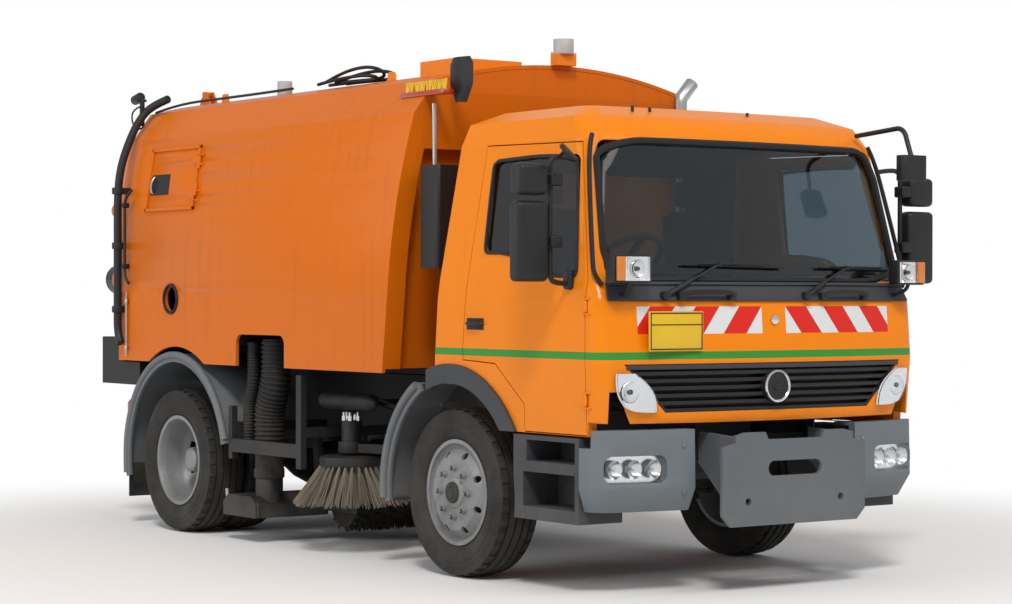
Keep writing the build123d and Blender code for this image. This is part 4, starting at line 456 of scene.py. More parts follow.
# %% [markdown]
# ## Finishes
# One function sets up what most finishes share: a base colour with runs and dust over it, a
# roughness that rises where dust lies, and a fine bump. Paint adds a thin clear coat. Values that
# are the same all over a surface are set on the shader's own sockets.


# %% One weathered finish
def new_finish(name, values):
    """A material kept by its name, with plain values on its Principled shader."""
    material = bpy.data.materials.new(name)
    material.use_nodes = True
    finishes[name] = material
    shader = material.node_tree.nodes["Principled BSDF"]
    for key, value in values.items():
        shader.inputs[key].default_value = value
    return material.node_tree, shader


def add_bump(tree, shader, height, strength):
    """A relief of 2 mm on the shader's Normal."""
    inputs = {"Height": height, "Strength": strength, "Distance": 0.002}
    tree.links.new(add_node(tree, "Bump", inputs).outputs[0], shader.inputs["Normal"])


def weathered(name, colour, roughness, dust=0.4, dust_high=1.2, dust_base=0.06, runs=0.0, bump=0.1, scale=120,
              tone=0.08, metallic=0.0, coat=0.0, gloss=0.3, dust_colour=DUST, pattern=None):
    """A finish with dust, runs, a varied tone and a fine bump."""
    tree, shader = new_finish(name, {
        "Metallic": metallic, "Coat Weight": coat, "Coat Roughness": 0.06,
        "Specular IOR Level": 0.5 if metallic else gloss,
    })
    skin = add_node(tree, "Group", {"Scale": scale}, node_tree=skin_group)
    darker = (*[c * (1 - 2 * tone) for c in colour], 1)
    here = mix_colours(tree, skin.outputs["Tone"], darker, (*colour, 1))
    if pattern:
        here = pattern(tree, here)
    if runs:
        here = add_node(tree, "Group", {"Color": here, "Amount": runs}, node_tree=runs_group).outputs["Color"]
    film = add_node(tree, "Group", {
        "Color": here, "Amount": dust, "High": dust_high, "Base": dust_base, "Dust Color": dust_colour,
    }, node_tree=dust_group)
    tree.links.new(film.outputs["Color"], shader.inputs["Base Color"])
    rough = ramp(tree, film.outputs["Mask"], 0.0, 1.0, roughness, DUSTY_ROUGHNESS)
    rough = maths(tree, "ADD", rough, product(tree, skin.outputs["Tone"], 0.08))
    tree.links.new(rough, shader.inputs["Roughness"])
    add_bump(tree, shader, skin.outputs["Height"], bump)


# %% [markdown]
# ## Paint with its markings
# The cab's green line and the red and white bands on its front are flat films on the paint, so
# they are colour in the paint's own material, placed by height and width on the cab. Each is a
# mask made of a few comparisons: 1 inside its edges and 0 outside. The dark lining of the cab's
# inner walls, the beacons' domes and the tail discs are masked in the same way.

# %% Markings on the cab paint
# The cab and the hopper wear one orange paint. The second orange here is that paint made darker: painted
# shade on the hopper's sides and tailgate.
ORANGE, BODY_ORANGE_SHADED = (0.88, 0.235, 0.002), (0.68, 0.148, 0.002)
LINE_GREEN, BAND_WHITE, BAND_RED = (0.035, 0.27, 0.035, 1), (0.70, 0.71, 0.71, 1), (0.68, 0.022, 0.014, 1)
LINE_Z = (1.252, 1.292)
BAND_Z, BAND_X = (1.385, 1.530), (0.085, 0.90)
BAND_PITCH, BAND_LEAN, RED_SHARE = 0.288, 0.78, 0.54
LINING = (0.050, 0.056, 0.066, 1)
LINING_Z, LINING_HALF = (1.120, 2.500), 0.985
WALL_LEAN, WALL_AFT = 0.114, 0.308  # the rear wall leans forward: aft = WALL_AFT - WALL_LEAN * height


def below(tree, value, limit):
    """1 where value is less than a limit, else 0."""
    return maths(tree, "LESS_THAN", value, limit)


def above(tree, value, limit):
    """1 where value is more than a limit, else 0."""
    return maths(tree, "GREATER_THAN", value, limit)


def between(tree, value, low, high):
    """1 where value lies between low and high, else 0."""
    return product(tree, above(tree, value, low), below(tree, value, high))


def coordinates(tree):
    """x, y and z on the object."""
    return add_node(tree, "SeparateXYZ", {"Vector": object_place(tree)}).outputs


def cab_markings(tree, paint):
    """The cab's paint with its green line, its striped bands and the lining of its inner walls."""
    x, y, z = coordinates(tree)
    away = maths(tree, "ABSOLUTE", x)
    band = product(tree, between(tree, z, *BAND_Z), between(tree, away, *BAND_X), below(tree, y, aft(-1.262)))
    along = maths(tree, "ADD", maths(tree, "SUBTRACT", away, BAND_X[0]), product(tree, z, BAND_LEAN))
    along = maths(tree, "SUBTRACT", along, BAND_LEAN * BAND_Z[1] - 4 * BAND_PITCH)
    phase = maths(tree, "FRACT", maths(tree, "DIVIDE", along, BAND_PITCH))
    stripes = mix_colours(tree, below(tree, phase, RED_SHARE), BAND_WHITE, BAND_RED)
    shown = mix_colours(tree, between(tree, z, *LINE_Z), paint, LINE_GREEN)
    shown = mix_colours(tree, band, shown, stripes)
    upright = maths(tree, "ADD", y, product(tree, z, WALL_LEAN))
    inside = product(tree, above(tree, y, aft(-1.000)), below(tree, upright, aft(WALL_AFT)))
    inside = product(tree, inside, between(tree, z, *LINING_Z), below(tree, away, LINING_HALF))
    return mix_colours(tree, inside, shown, LINING)


# %% Beacons and tail discs
BEACONS = ((aft(0.472), 3.040, 0.090), (aft(2.850), 2.905, 0.070))  # y, lowest z, reach along y
SMOKED = (0.46, 0.48, 0.48, 1)
DISC = (0.955, 1.690, 0.109)  # x, z, radius of the round lamps on the tailgate
DISC_BLACK = (0.014, 0.014, 0.015, 1)


def beacon_domes(tree, paint):
    """The roof gear's paint with its two beacons coloured as smoked clear plastic."""
    _, y, z = coordinates(tree)
    for middle, foot, reach in BEACONS:
        near = product(tree, between(tree, y, middle - reach, middle + reach), above(tree, z, foot))
        paint = mix_colours(tree, near, paint, SMOKED)
    return paint


def tail_discs(tree, paint):
    """The tailgate's paint with its two round lamps coloured as black rubber."""
    x, y, z = coordinates(tree)
    across = maths(tree, "SUBTRACT", maths(tree, "ABSOLUTE", x), DISC[0])
    up_by = maths(tree, "SUBTRACT", z, DISC[1])
    reach = maths(tree, "ADD", product(tree, across, across), product(tree, up_by, up_by))
    near = product(tree, below(tree, maths(tree, "SQRT", reach), DISC[2]), above(tree, y, aft(4.390)))
    return mix_colours(tree, near, paint, DISC_BLACK)


# %% Finishes, one by one
# name, colour, roughness, then what differs from a plain dusty finish
BROWN_DUST = (0.22, 0.10, 0.03, 1)
weathered("cab_paint", ORANGE, 0.26, dust=0.42, dust_high=1.35, dust_base=0.03, runs=0.08, bump=0.02,
          scale=260, tone=0.015, coat=0.10, gloss=0.18, dust_colour=(0.26, 0.16, 0.08, 1),
          pattern=cab_markings)
# the hopper's and tailgate's finishes take the darkened orange, which is painted shade and not a paint of
# their own
weathered("body_paint", BODY_ORANGE_SHADED, 0.34, dust=0.30, dust_high=1.9, dust_base=0.03, runs=0.30, bump=0.02,
          scale=90, tone=0.02, coat=0.04, gloss=0.18, dust_colour=BROWN_DUST)
weathered("gate_paint", BODY_ORANGE_SHADED, 0.34, dust=0.22, dust_high=1.5, dust_base=0.05, runs=0.25, bump=0.02,
          scale=90, tone=0.02, coat=0.04, gloss=0.18, dust_colour=BROWN_DUST, pattern=tail_discs)
weathered("roof_paint", ORANGE, 0.32, dust=0.45, dust_high=1.55, dust_base=0.06, runs=0.2, bump=0.05,
          scale=90, tone=0.03, coat=0.15, gloss=0.25, pattern=beacon_domes)
weathered("flare_plastic", (0.048, 0.053, 0.060), 0.52, dust=0.30, dust_high=1.4, bump=0.35, scale=420)
weathered("guard_plastic", (0.15, 0.165, 0.18), 0.5, dust=0.35, dust_high=1.4, bump=0.3, scale=420)
weathered("bumper_plastic", (0.150, 0.176, 0.196), 0.46, dust=0.3, dust_high=0.95, bump=0.25,
          scale=480, tone=0.05)
weathered("plate_paint", (0.122, 0.138, 0.152), 0.42, dust=0.35, dust_high=0.9, runs=0.1, bump=0.15,
          scale=180, tone=0.05)
weathered("frame_paint", (0.012, 0.013, 0.015), 0.45, dust=0.24, dust_high=1.0, bump=0.25, scale=160)
weathered("gear_paint", (0.016, 0.017, 0.019), 0.46, dust=0.34, dust_high=0.9, bump=0.3, scale=150)
weathered("black_plastic", (0.016, 0.017, 0.018), 0.38, dust=0.25, dust_high=0.9, bump=0.25, scale=500)
weathered("interior_plastic", (0.040, 0.043, 0.048), 0.62, dust=0.15, dust_high=0.8, bump=0.4, scale=700)
weathered("hose_rubber", (0.013, 0.013, 0.014), 0.52, dust=0.35, dust_high=1.1, bump=0.2, scale=200)
weathered("tyre_rubber", (0.018, 0.018, 0.018), 0.72, dust=0.34, dust_high=1.25, dust_base=0.3, bump=0.3,
          scale=220, tone=0.15, dust_colour=(0.19, 0.165, 0.135, 1))
weathered("rim_paint", (0.30, 0.31, 0.32), 0.36, dust=0.75, dust_high=0.95, dust_base=0.25, runs=0.25,
          bump=0.12, scale=240, metallic=0.35, dust_colour=(0.115, 0.10, 0.085, 1))
weathered("bare_steel", (0.48, 0.48, 0.47), 0.30, dust=0.35, dust_high=1.2, bump=0.08, scale=300,
          metallic=1.0)
weathered("seat_cloth", (0.045, 0.05, 0.065), 0.88, dust=0.1, dust_high=0.8, bump=0.9, scale=900, tone=0.2)
weathered("nut_steel", (0.34, 0.33, 0.32), 0.36, dust=0.6, dust_high=1.0, dust_base=0.2, bump=0.1, scale=300,
          metallic=0.85, dust_colour=(0.12, 0.09, 0.07, 1))
weathered("seal_rubber", (0.012, 0.013, 0.015), 0.55, dust=0.12, dust_high=0.9, bump=0.15, scale=300)
weathered("cowl_plastic", (0.045, 0.050, 0.058), 0.48, dust=0.15, dust_high=0.9, bump=0.3, scale=450)
weathered("black_glass", (0.006, 0.007, 0.009), 0.12, dust=0.1, dust_high=0.9, bump=0.0, coat=0.6)
weathered("chrome", (0.72, 0.73, 0.74), 0.12, dust=0.2, dust_high=0.9, bump=0.02, metallic=1.0)
weathered("reflector", (0.82, 0.83, 0.84), 0.16, dust=0.05, dust_high=0.6, bump=0.25, scale=60, metallic=1.0)
weathered("plate_yellow", (0.80, 0.50, 0.015), 0.4, dust=0.15, dust_high=0.8, bump=0.1, scale=200, coat=0.3)
weathered("roller_fibre", (0.022, 0.021, 0.020), 0.8, dust=0.4, dust_high=0.7, bump=0.4, scale=260, tone=0.3)
weathered("bristles", (0.27, 0.235, 0.185), 0.75, dust=0.5, dust_high=0.7, dust_base=0.3, bump=0.5, scale=260,
          tone=0.3)


# %% [markdown]
# ## Glass and lamps
# Panes and clear lenses let light through, so they keep a plain Transmission. The door windows are
# darker than the windscreen. Coloured lenses are glossy plastic over a ribbed reflector, which
# reads well without light passing through them.


# %% Clear and coloured lenses
def clear(name, colour):
    """A see-through finish."""
    new_finish(name, {"Base Color": (*colour, 1), "Roughness": 0.0, "Transmission Weight": 1.0, "IOR": 1.45})


def lens(name, colour):
    """Glossy coloured plastic with fine prism ribs."""
    tree, shader = new_finish(name, {"Roughness": 0.16, "Coat Weight": 0.6})
    inputs = {"Vector": object_place(tree), "Scale": 130, "Randomness": 0.0}
    cells = add_node(tree, "TexVoronoi", inputs).outputs["Distance"]
    shade = mix_colours(tree, cells, (*colour, 1), (*[c * 0.45 for c in colour], 1))
    tree.links.new(shade, shader.inputs["Base Color"])
    add_bump(tree, shader, cells, 0.35)


clear("window_glass", (0.30, 0.40, 0.46))
clear("door_window_glass", (0.17, 0.20, 0.22))
clear("lamp_glass", (0.95, 0.96, 0.97))
lens("amber_lens", (0.85, 0.24, 0.01))
lens("red_lens", (0.60, 0.03, 0.01))
lens("white_lens", (0.80, 0.82, 0.84))
new_finish("mirror_glass", {"Base Color": (0.85, 0.87, 0.88, 1), "Metallic": 1.0, "Roughness": 0.03})
print("finishes:", len(finishes))

# %% [markdown]
# ## Dressing the frame
# Each CAD part keeps its mesh and gets a finish. A Weld and a Bevel modifier on top round its
# sharp edges by a few millimetres, so that they catch the light as folded sheet and mouldings do.
# Both are live modifiers on the part: its own vertices stay as they are.

# %% Finish for every CAD part
parts_in = {
    "cab_paint": "cab_shell door_right door_left",
    "body_paint": "hopper_shell hopper_front side_hatch",
    "gate_paint": "tailgate",
    "roof_paint": "roof_gear",
    "frame_paint": "hopper_floor chassis_frame subframe rear_beam",
    "gear_paint": "leaf_springs front_axle rear_axle knuckle_right knuckle_left tie_rod engine propshaft "
                  "side_tanks ram_barrel brush_arm brush_mount side_frame suction_nozzle roller_hood",
    "bare_steel": "exhaust_stack ram_rod",
    "black_plastic": "air_intake suction_boom grille mirror_right mirror_left roof_mirrors",
    "flare_plastic": "wheel_flares entry_steps",
    "guard_plastic": "mudguards",
    "bumper_plastic": "bumper",
    "plate_paint": "front_plate",
    "lamp_glass": "headlamps",
    "red_lens": "tail_lamps",
    "interior_plastic": "dashboard",
    "seat_cloth": "seats",
    "window_glass": "cab_glass",
    "door_window_glass": "door_glass_right door_glass_left",
    "tyre_rubber": "front_tyre_right front_tyre_left rear_tyres_right rear_tyres_left",
    "rim_paint": "front_rim_right front_rim_left rear_rims_right rear_rims_left",
    "hose_rubber": "suction_hoses",
    "bristles": "side_brush roller_brush",
}
finish_of = {part: finish for finish, parts in parts_in.items() for part in parts.split()}
# width of the rounded edge in millimetres: 4, or as given here
USUAL_EDGE = 4
sharp = ("cab_glass door_glass_right door_glass_left front_tyre_right front_tyre_left rear_tyres_right "
         "rear_tyres_left side_tanks suction_hoses side_brush roller_brush front_plate suction_boom")
edge_width = dict.fromkeys(sharp.split(), 0)
edge_width |= {"hopper_shell": 6, "tailgate": 10, "cab_shell": 6, "bumper": 8, "headlamps": 3, "grille": 2.5}
edge_width |= {"mudguards": 7, "roof_mirrors": 5, "seats": 18, "engine": 18}
for name, obj in nodes.items():
    obj.data.materials.clear()
    obj.data.materials.append(finishes[finish_of[name]])
    obj.modifiers.new("weld", "WELD").merge_threshold = 0.0002
    width = edge_width.get(name, USUAL_EDGE)
    if width:
        bevel = obj.modifiers.new("round_edges", "BEVEL")
        bevel.width = width / 1000
        bevel.segments = 2
        bevel.limit_method = "ANGLE"
        bevel.angle_limit = math.radians(38)
        bevel.harden_normals = True
print("dressed:", len(finish_of), "parts")

# %% [markdown]
# ## Tyres
# A tyre is one profile turned round its axle. The profile goes from bead to bead over ribbed
# sidewalls and a tread with four grooves. The shoulder's lugs come from extruding every other face
# of the spun shoulder band inwards along its normals. The CAD tyre is the same size, and this one
# replaces it. The inner of two twin tyres is a copy of the outer one.

# %% Tyre profile
# across the tyre from its middle, radius: bead, sidewall with its scuff ribs, shoulder, grooved tread
half_profile = [
    (0.090, 0.287), (0.1005, 0.290), (0.103, 0.300), (0.110, 0.306), (0.111, 0.314), (0.119, 0.320),
    (0.1205, 0.330), (0.127, 0.338), (0.1335, 0.355), (0.1375, 0.376), (0.1375, 0.392), (0.1345, 0.396),
    (0.1345, 0.404), (0.1355, 0.408), (0.1325, 0.424), (0.1300, 0.428), (0.1300, 0.436), (0.1290, 0.446),
    (0.1235, 0.464), (0.1140, 0.4685), (0.0830, 0.4722), (0.0810, 0.4600), (0.0700, 0.4600),
    (0.0680, 0.4745), (0.0330, 0.4770), (0.0315, 0.4630), (0.0205, 0.4630), (0.0190, 0.4776), (0.0, 0.4780),
]
TYRE_STEPS = 72
LUG_DEPTH = 0.008


def tyre(middle_x, axle_y):
    """A tyre round the axle at axle_y, standing on the ground."""
    across = half_profile + [(-x, r) for x, r in reversed(half_profile[:-1])]
    obj = spun([(r, x) for x, r in across], (middle_x, axle_y, AXLE_Z), "X", TYRE_STEPS)
    bpy.ops.object.mode_set(mode="EDIT")
    bpy.ops.mesh.select_mode(type="FACE")
    bpy.ops.mesh.select_all(action="DESELECT")
    bpy.ops.object.mode_set(mode="OBJECT")
    # lugs: every other face of both shoulder bands goes in
    for face in obj.data.polygons:
        offset_x = abs(face.center.x - middle_x)
        y, z = face.center.y - axle_y, face.center.z - AXLE_Z
        place = round((math.atan2(z, y) / (2 * math.pi) + 1) * TYRE_STEPS - 0.5)
        radius = math.hypot(y, z)
        shoulder = 0.455 < radius < 0.4685 and offset_x > 0.113
        tread_edge = 0.465 < radius and 0.083 < offset_x < 0.114
        face.select = (shoulder or tread_edge) and place % 2 == 0
    bpy.ops.object.mode_set(mode="EDIT")
    bpy.ops.mesh.extrude_region_shrink_fatten(TRANSFORM_OT_shrink_fatten={"value": -LUG_DEPTH})
    bpy.ops.object.mode_set(mode="OBJECT")
    whole_mesh(obj, bpy.ops.mesh.normals_make_consistent, inside=False)
    return obj


# %% Fit the tyres
FRONT_X, REAR_X, TWIN = 0.986, 1.017, 0.310
for side, word in SIDES:
    front = tyre(side * FRONT_X, FRONT_AXLE_Y)
    finish_piece(front, f"tread_front_{word}", "tyre_rubber", f"front_wheel_{word}")
    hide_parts(f"front_tyre_{word}")
    outer = tyre(side * REAR_X, REAR_AXLE_Y)
    inner = copy_moved(outer, Matrix.Translation((-side * TWIN, 0, 0)))
    twins = finish_piece(joined([outer, inner]), f"treads_rear_{word}", "tyre_rubber", f"rear_wheels_{word}")
    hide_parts(f"rear_tyres_{word}")

# %% [markdown]
# ## Wheel nuts and hubs
# Eight hexagon nuts, each on a washer with its stud end, hold each disc. One is modelled and
# copied round the bolt circle. The front hub has a dark grease cap with a raised middle, the rear
# hub a flange with small bolts.


# %% One nut, copied round a hub
def nut_ring(plane_x, side, axle_y, count=8, circle=0.1375, size=0.0165, length=0.026):
    """Hexagon nuts standing outwards from the plane at plane_x."""
    def bar(start, end, radius, sides, edge):
        ends = [(plane_x + side * out, axle_y + circle, AXLE_Z) for out in (start, end)]
        return cylinder(*ends, radius, sides=sides, edge=edge)

    washer = bar(0, 0.005, size * 1.25, 20, 0.001)
    head = bar(0.004, length, size, 6, 0.0015)
    stud = bar(length * 0.9, length + 0.012, size * 0.55, 12, 0.001)
    nuts = [joined([washer, head, stud])]
    for number in range(1, count):
        angle = 2 * math.pi * number / count
        shift = (0, circle * (math.cos(angle) - 1), circle * math.sin(angle))
        nuts.append(copy_moved(nuts[0], Matrix.Translation(shift)))
    return joined(nuts)


# %% Hubs
# distance out, radius
CAP = ((0.0, 0.0), (0.0, 0.060), (0.012, 0.060), (0.020, 0.052), (0.021, 0.036), (0.028, 0.033), (0.030, 0.0))
for side, word in SIDES:
    front, rear = f"front_wheel_{word}", f"rear_wheels_{word}"
    disc = side * (FRONT_X + 0.118)
    nuts = nut_ring(disc + side * 0.006, side, FRONT_AXLE_Y)
    finish_piece(nuts, f"nuts_front_{word}", "nut_steel", front)
    cap = spun([(r, side * (0.016 + x)) for x, r in CAP], (disc, FRONT_AXLE_Y, AXLE_Z), "X", 40)
    finish_piece(cap, f"hub_cap_front_{word}", "gear_paint", front)
    middle = REAR_X - TWIN / 2
    nuts = nut_ring(side * (middle + 0.018), side, REAR_AXLE_Y, length=0.034)
    finish_piece(nuts, f"nuts_rear_{word}", "nut_steel", rear)
    small = {"count": 10, "circle": 0.078, "size": 0.008, "length": 0.010}
    bolts = nut_ring(side * (middle + 0.048), side, REAR_AXLE_Y, **small)
    finish_piece(bolts, f"hub_bolts_rear_{word}", "nut_steel", rear)

# %% [markdown]
# ## The cab's own curves
# The cab's front is bowed in plan and leans back above the waist. Trim has to follow it, so two
# small functions give a point on the front and on the side at any height. They come from a short
# table of the cab's levels. A film or a panel is then a grid primitive whose points are set on
# that surface, and Solidify gives it its thickness.

# %% Points on the cab's surface
# height, half width, distance aft of the front at the centre and at the corners
CAB_LEVELS = (
    (0.850, 1.125, -1.425, -1.340), (1.240, 1.140, -1.450, -1.362), (1.560, 1.140, -1.425, -1.335),
    (1.670, 1.132, -1.372, -1.285), (2.425, 1.042, -1.192, -1.112), (2.545, 1.000, -1.105, -1.035),
)


def level_at(levels, z):
    """The values of a table of levels at a height: between two rows, or beyond the last."""
    for low, high in zip(levels, levels[1:]):
        if z <= high[0] or high is levels[-1]:
            share = (z - low[0]) / (high[0] - low[0])
            return [a + (b - a) * share for a, b in zip(low[1:], high[1:])]


def cab_front(x, z, out=0.0):
    """A point on the cab's front, moved out from it."""
    half, centre, corner = level_at(CAB_LEVELS, z)
    return (x, aft(centre + (corner - centre) * (x / half) ** 2) - out, z)


def cab_side(side, distance, z, out=0.0):
    """A point on the cab's side."""
    return (side * (level_at(CAB_LEVELS, z)[0] + out), aft(distance), z)


def front_panel(foot, head, out, thickness, across, up, edge=0.0):
    """A panel on the cab's front. Foot and head are each its half width and its height."""
    def place(u, v):
        half, z = Vector(foot).lerp(Vector(head), v)
        return cab_front(half * (2 * u - 1), z, out)

    obj = shaped_grid(across, up, place)
    modify(obj, "SOLIDIFY", thickness=thickness, offset=1)
    return rounded(obj, edge)


def along(start, end, count):
    """count points from start up to, but not including, end."""
    return [Vector(start).lerp(Vector(end), number / count) for number in range(count)]


# %% [markdown]
# ## Windscreen surround and cowl
# The windscreen sits in a wide black rubber seal. Below it a black plastic cowl carries the wiper
# spindles and two long grab handles.

# %% Seal round the windscreen
FOOT_HALF, TOP_HALF, FOOT_Z, TOP_Z = 1.050, 0.985, 1.668, 2.412
runs = (
    ((-FOOT_HALF + 0.06, FOOT_Z), (FOOT_HALF - 0.06, FOOT_Z), 12),
    ((FOOT_HALF - 0.005, FOOT_Z + 0.06), (TOP_HALF + 0.005, TOP_Z - 0.06), 8),
    ((TOP_HALF - 0.06, TOP_Z), (-TOP_HALF + 0.06, TOP_Z), 12),
    ((-TOP_HALF - 0.005, TOP_Z - 0.06), (-FOOT_HALF + 0.005, FOOT_Z + 0.06), 8),
)
outline = [cab_front(*point, -0.001) for run in runs for point in along(*run)]
seal = tube(outline, 0.020, sides=8, smoothness=3, closed=True)
finish_piece(seal, "windscreen_seal", "seal_rubber", "cab")
band = front_panel((1.0, 1.700), (0.995, 1.750), -0.014, 0.0015, across=20, up=1)
finish_piece(band, "windscreen_black_foot", "black_glass", "cab")

# %% Cowl with its handles
cowl = front_panel((1.075, 1.556), (1.060, 1.652), 0.003, 0.012, across=30, up=3, edge=0.003)
finish_piece(cowl, "cowl", "cowl_plastic", "cab")
lip = front_panel((1.060, 1.640), (1.056, 1.656), 0.014, 0.014, across=30, up=1, edge=0.004)
finish_piece(lip, "cowl_lip", "cowl_plastic", "cab")
REACH = 0.165
# share of the reach, height, distance out
BAR = ((-1, 1.582, 0.012), (-1, 1.590, 0.055), (-0.8, 1.606, 0.062),
       (0.8, 1.606, 0.062), (1, 1.590, 0.055), (1, 1.582, 0.012))
for word, middle in (("right", -0.470), ("left", 0.520)):
    bar = tube([cab_front(middle + REACH * share, z, out) for share, z, out in BAR], 0.013)
    finish_piece(bar, f"cowl_handle_{word}", "black_plastic", "cab")
    feet = [cube(cab_front(middle + REACH * share, 1.584, 0.030), 0.022, 0.008) for share in (-1, 1)]
    finish_piece(joined(feet), f"cowl_handle_feet_{word}", "black_plastic", "cab")

# %% [markdown]
# ## Wipers
# Each wiper is a spindle cap, a tapered arm with its spring box, and a long blade that lies on the
# glass. The arms rise to the right across the glass and the blades lie level at rest.

# %% Wipers
# spindle x, where the arm meets the blade, blade ends: x, z
wipers = {
    "right": (-0.734, (-0.345, 1.752), (-0.560, 1.752), (0.130, 1.740)),
    "left": (0.231, (0.600, 1.742), (0.400, 1.744), (0.985, 1.738)),
}
for word, (spindle_x, meet, left_end, right_end) in wipers.items():
    hub = [cab_front(spindle_x, 1.585, out) for out in (0.0, 0.050)]
    foot = Vector(cab_front(spindle_x, 1.585, 0.030))
    middle = Vector(cab_front(spindle_x + 0.45 * (meet[0] - spindle_x), 1.662, 0.036))
    head = Vector(cab_front(*meet, 0.032))
    shares = [number / 8 for number in range(9)]
    length = right_end[0] - left_end[0]
    rise = right_end[1] - left_end[1]
    blade_line = [cab_front(left_end[0] + length * k, left_end[1] + rise * k, 0.010) for k in shares]
    spine_line = [
        cab_front(left_end[0] + length * k * 0.72 + 0.09, left_end[1] + 0.004, 0.024 if 0 < k < 1 else 0.018)
        for k in shares
    ]
    wiper = joined([
        cylinder(*hub, 0.024, sides=24, edge=0.005),
        tube([foot, foot.lerp(middle, 0.5) + Vector((0, -0.006, 0)), middle], 0.015, order=2),
        tube([middle, middle.lerp(head, 0.6) + Vector((0, -0.004, 0)), head], 0.0075),
        tube(blade_line, 0.0065),
        tube(spine_line, 0.0045),
        cube(head, 0.012, 0.004),
    ])
    finish_piece(wiper, f"wiper_{word}", "black_plastic", "cab")

# %% [markdown]
# ## Front lamps, badge and plate
# Clear turn lamps fill the corners under the grille's ends. The number plate is left blank, and
# so is the round badge: a plain chrome ring over a dark dish.


# %% Corner lamps
def corner_patch(side, out, thickness, edge=0.0):
    """A patch on the cab's front corner with a round outer foot and a curved inner edge."""
    def place(u, up):
        across = u if side > 0 else 1 - u
        outer = 1.045 - 0.060 * (1 - up) ** 3
        inner = 0.792 + 0.150 * up ** 2.6
        foot = 0.976 + 0.030 * across ** 4
        return cab_front(side * (inner + (outer - inner) * across), foot + (1.182 - foot) * up, out)

    obj = shaped_grid(16, 14, place)
    modify(obj, "SOLIDIFY", thickness=thickness, offset=0)
    return rounded(obj, edge, angle=40)


CORNER_BOWL = ((0.058, 0.000), (0.054, -0.006), (0.048, -0.006), (0.030, 0.000), (0.014, 0.001))
for side, word in SIDES:
    finish_piece(corner_patch(side, 0.010, 0.005), f"corner_lamp_back_{word}", "reflector", "cab")
    finish_piece(corner_patch(side, 0.026, 0.005, edge=0.0015), f"corner_lamp_{word}", "lamp_glass", "cab")
    middle = Vector(cab_front(side * 0.955, 1.085, 0.012))
    bowl = spun(CORNER_BOWL, middle, "Y", 40)
    finish_piece(bowl, f"corner_bowl_{word}", "chrome", "cab", smooth=60)
    bulb = cylinder(middle, middle + Vector((0, -0.008, 0)), 0.014, sides=20, edge=0.003)
    finish_piece(bulb, f"corner_bulb_{word}", "cowl_plastic", "cab")

# %% Badge
badge_middle = (0, aft(-1.458), 1.100)
ring = ((0.086, 0.0), (0.089, -0.008), (0.086, -0.014), (0.079, -0.015), (0.074, -0.010), (0.074, 0.0))
finish_piece(spun(ring, badge_middle, "Y", 64), "badge_ring", "chrome", "cab")
dish = ((0.074, -0.006), (0.050, -0.003), (0.026, -0.002), (0.022, -0.008), (0.0, -0.010))
finish_piece(spun(dish, badge_middle, "Y", 48), "badge_dish", "black_plastic", "cab")
lock = cylinder(cab_front(0, 1.458, 0.0), cab_front(0, 1.458, 0.012), 0.026, sides=28, edge=0.003)
finish_piece(lock, "front_lock", "chrome", "cab")

# %% Number plate
low_x, low_z, high_x, high_z = -0.870, 1.296, -0.505, 1.505
plate_y = cab_front(high_x, 1.40, 0.012)[1]
plate = block((low_x, plate_y - 0.012, low_z), (high_x, plate_y, high_z), edge=0.004)
finish_piece(plate, "number_plate_blank", "plate_yellow", "cab")


def plate_strip(x0, z0, x1, z1):
    """A thin raised strip on the plate."""
    return block((x0, plate_y - 0.0145, z0), (x1, plate_y - 0.010, z1), edge=0.001)


strips = []
for z in (low_z + 0.010, high_z - 0.010):
    strips.append(plate_strip(low_x + 0.007, z - 0.003, high_x - 0.007, z + 0.003))
for x in (low_x + 0.010, high_x - 0.010):
    strips.append(plate_strip(x - 0.003, low_z + 0.007, x + 0.003, high_z - 0.007))
strips.append(plate_strip(low_x + 0.012, 1.432, high_x - 0.012, 1.437))
finish_piece(joined(strips), "number_plate_rim", "black_plastic", "cab")

# %% [markdown]
# ## Points on the hopper's side
# The hopper's side leans in above its bulge. Fittings that sit on it follow a short table of its
# half widths, as the cab's trim does.

# %% Points on the hopper's side
# height, half width
HOPPER_LEVELS = ((1.130, 1.150), (1.600, 1.150), (2.130, 1.128), (2.650, 1.046), (2.846, 0.908))


def hopper_side(distance, z, out=0.0):
    """A point on the hopper's right side, moved out from it."""
    return (-(level_at(HOPPER_LEVELS, z)[0] + out), aft(distance), z)


def side_panel(front, rear, foot, head, out, thickness):
    """A flat plate on the hopper's side between two distances aft and two heights."""
    deselect()
    bpy.ops.mesh.primitive_circle_add(vertices=4, fill_type="NGON")
    obj = bpy.context.object
    corners = ((front, foot), (rear, foot), (rear, head), (front, head))
    for vertex, corner in zip(obj.data.vertices, corners):
        vertex.co = hopper_side(*corner, out)
    whole_mesh(obj, bpy.ops.mesh.normals_make_consistent, inside=False)
    modify(obj, "SOLIDIFY", thickness=thickness, offset=0)
    return rounded(obj, 0.002)


print("hopper half width at 2.4 m:", round(-hopper_side(3.0, 2.4)[0], 3))

# %% [markdown]
# ## Inspection hatch
# The hatch is pressed sheet with a raised rim, two hinges on its front edge and a recessed latch
# by its rear edge. The rim is four folded strips on the leaning side; the latch is a dark pocket
# with a bright handle. All of it swings with the hatch.

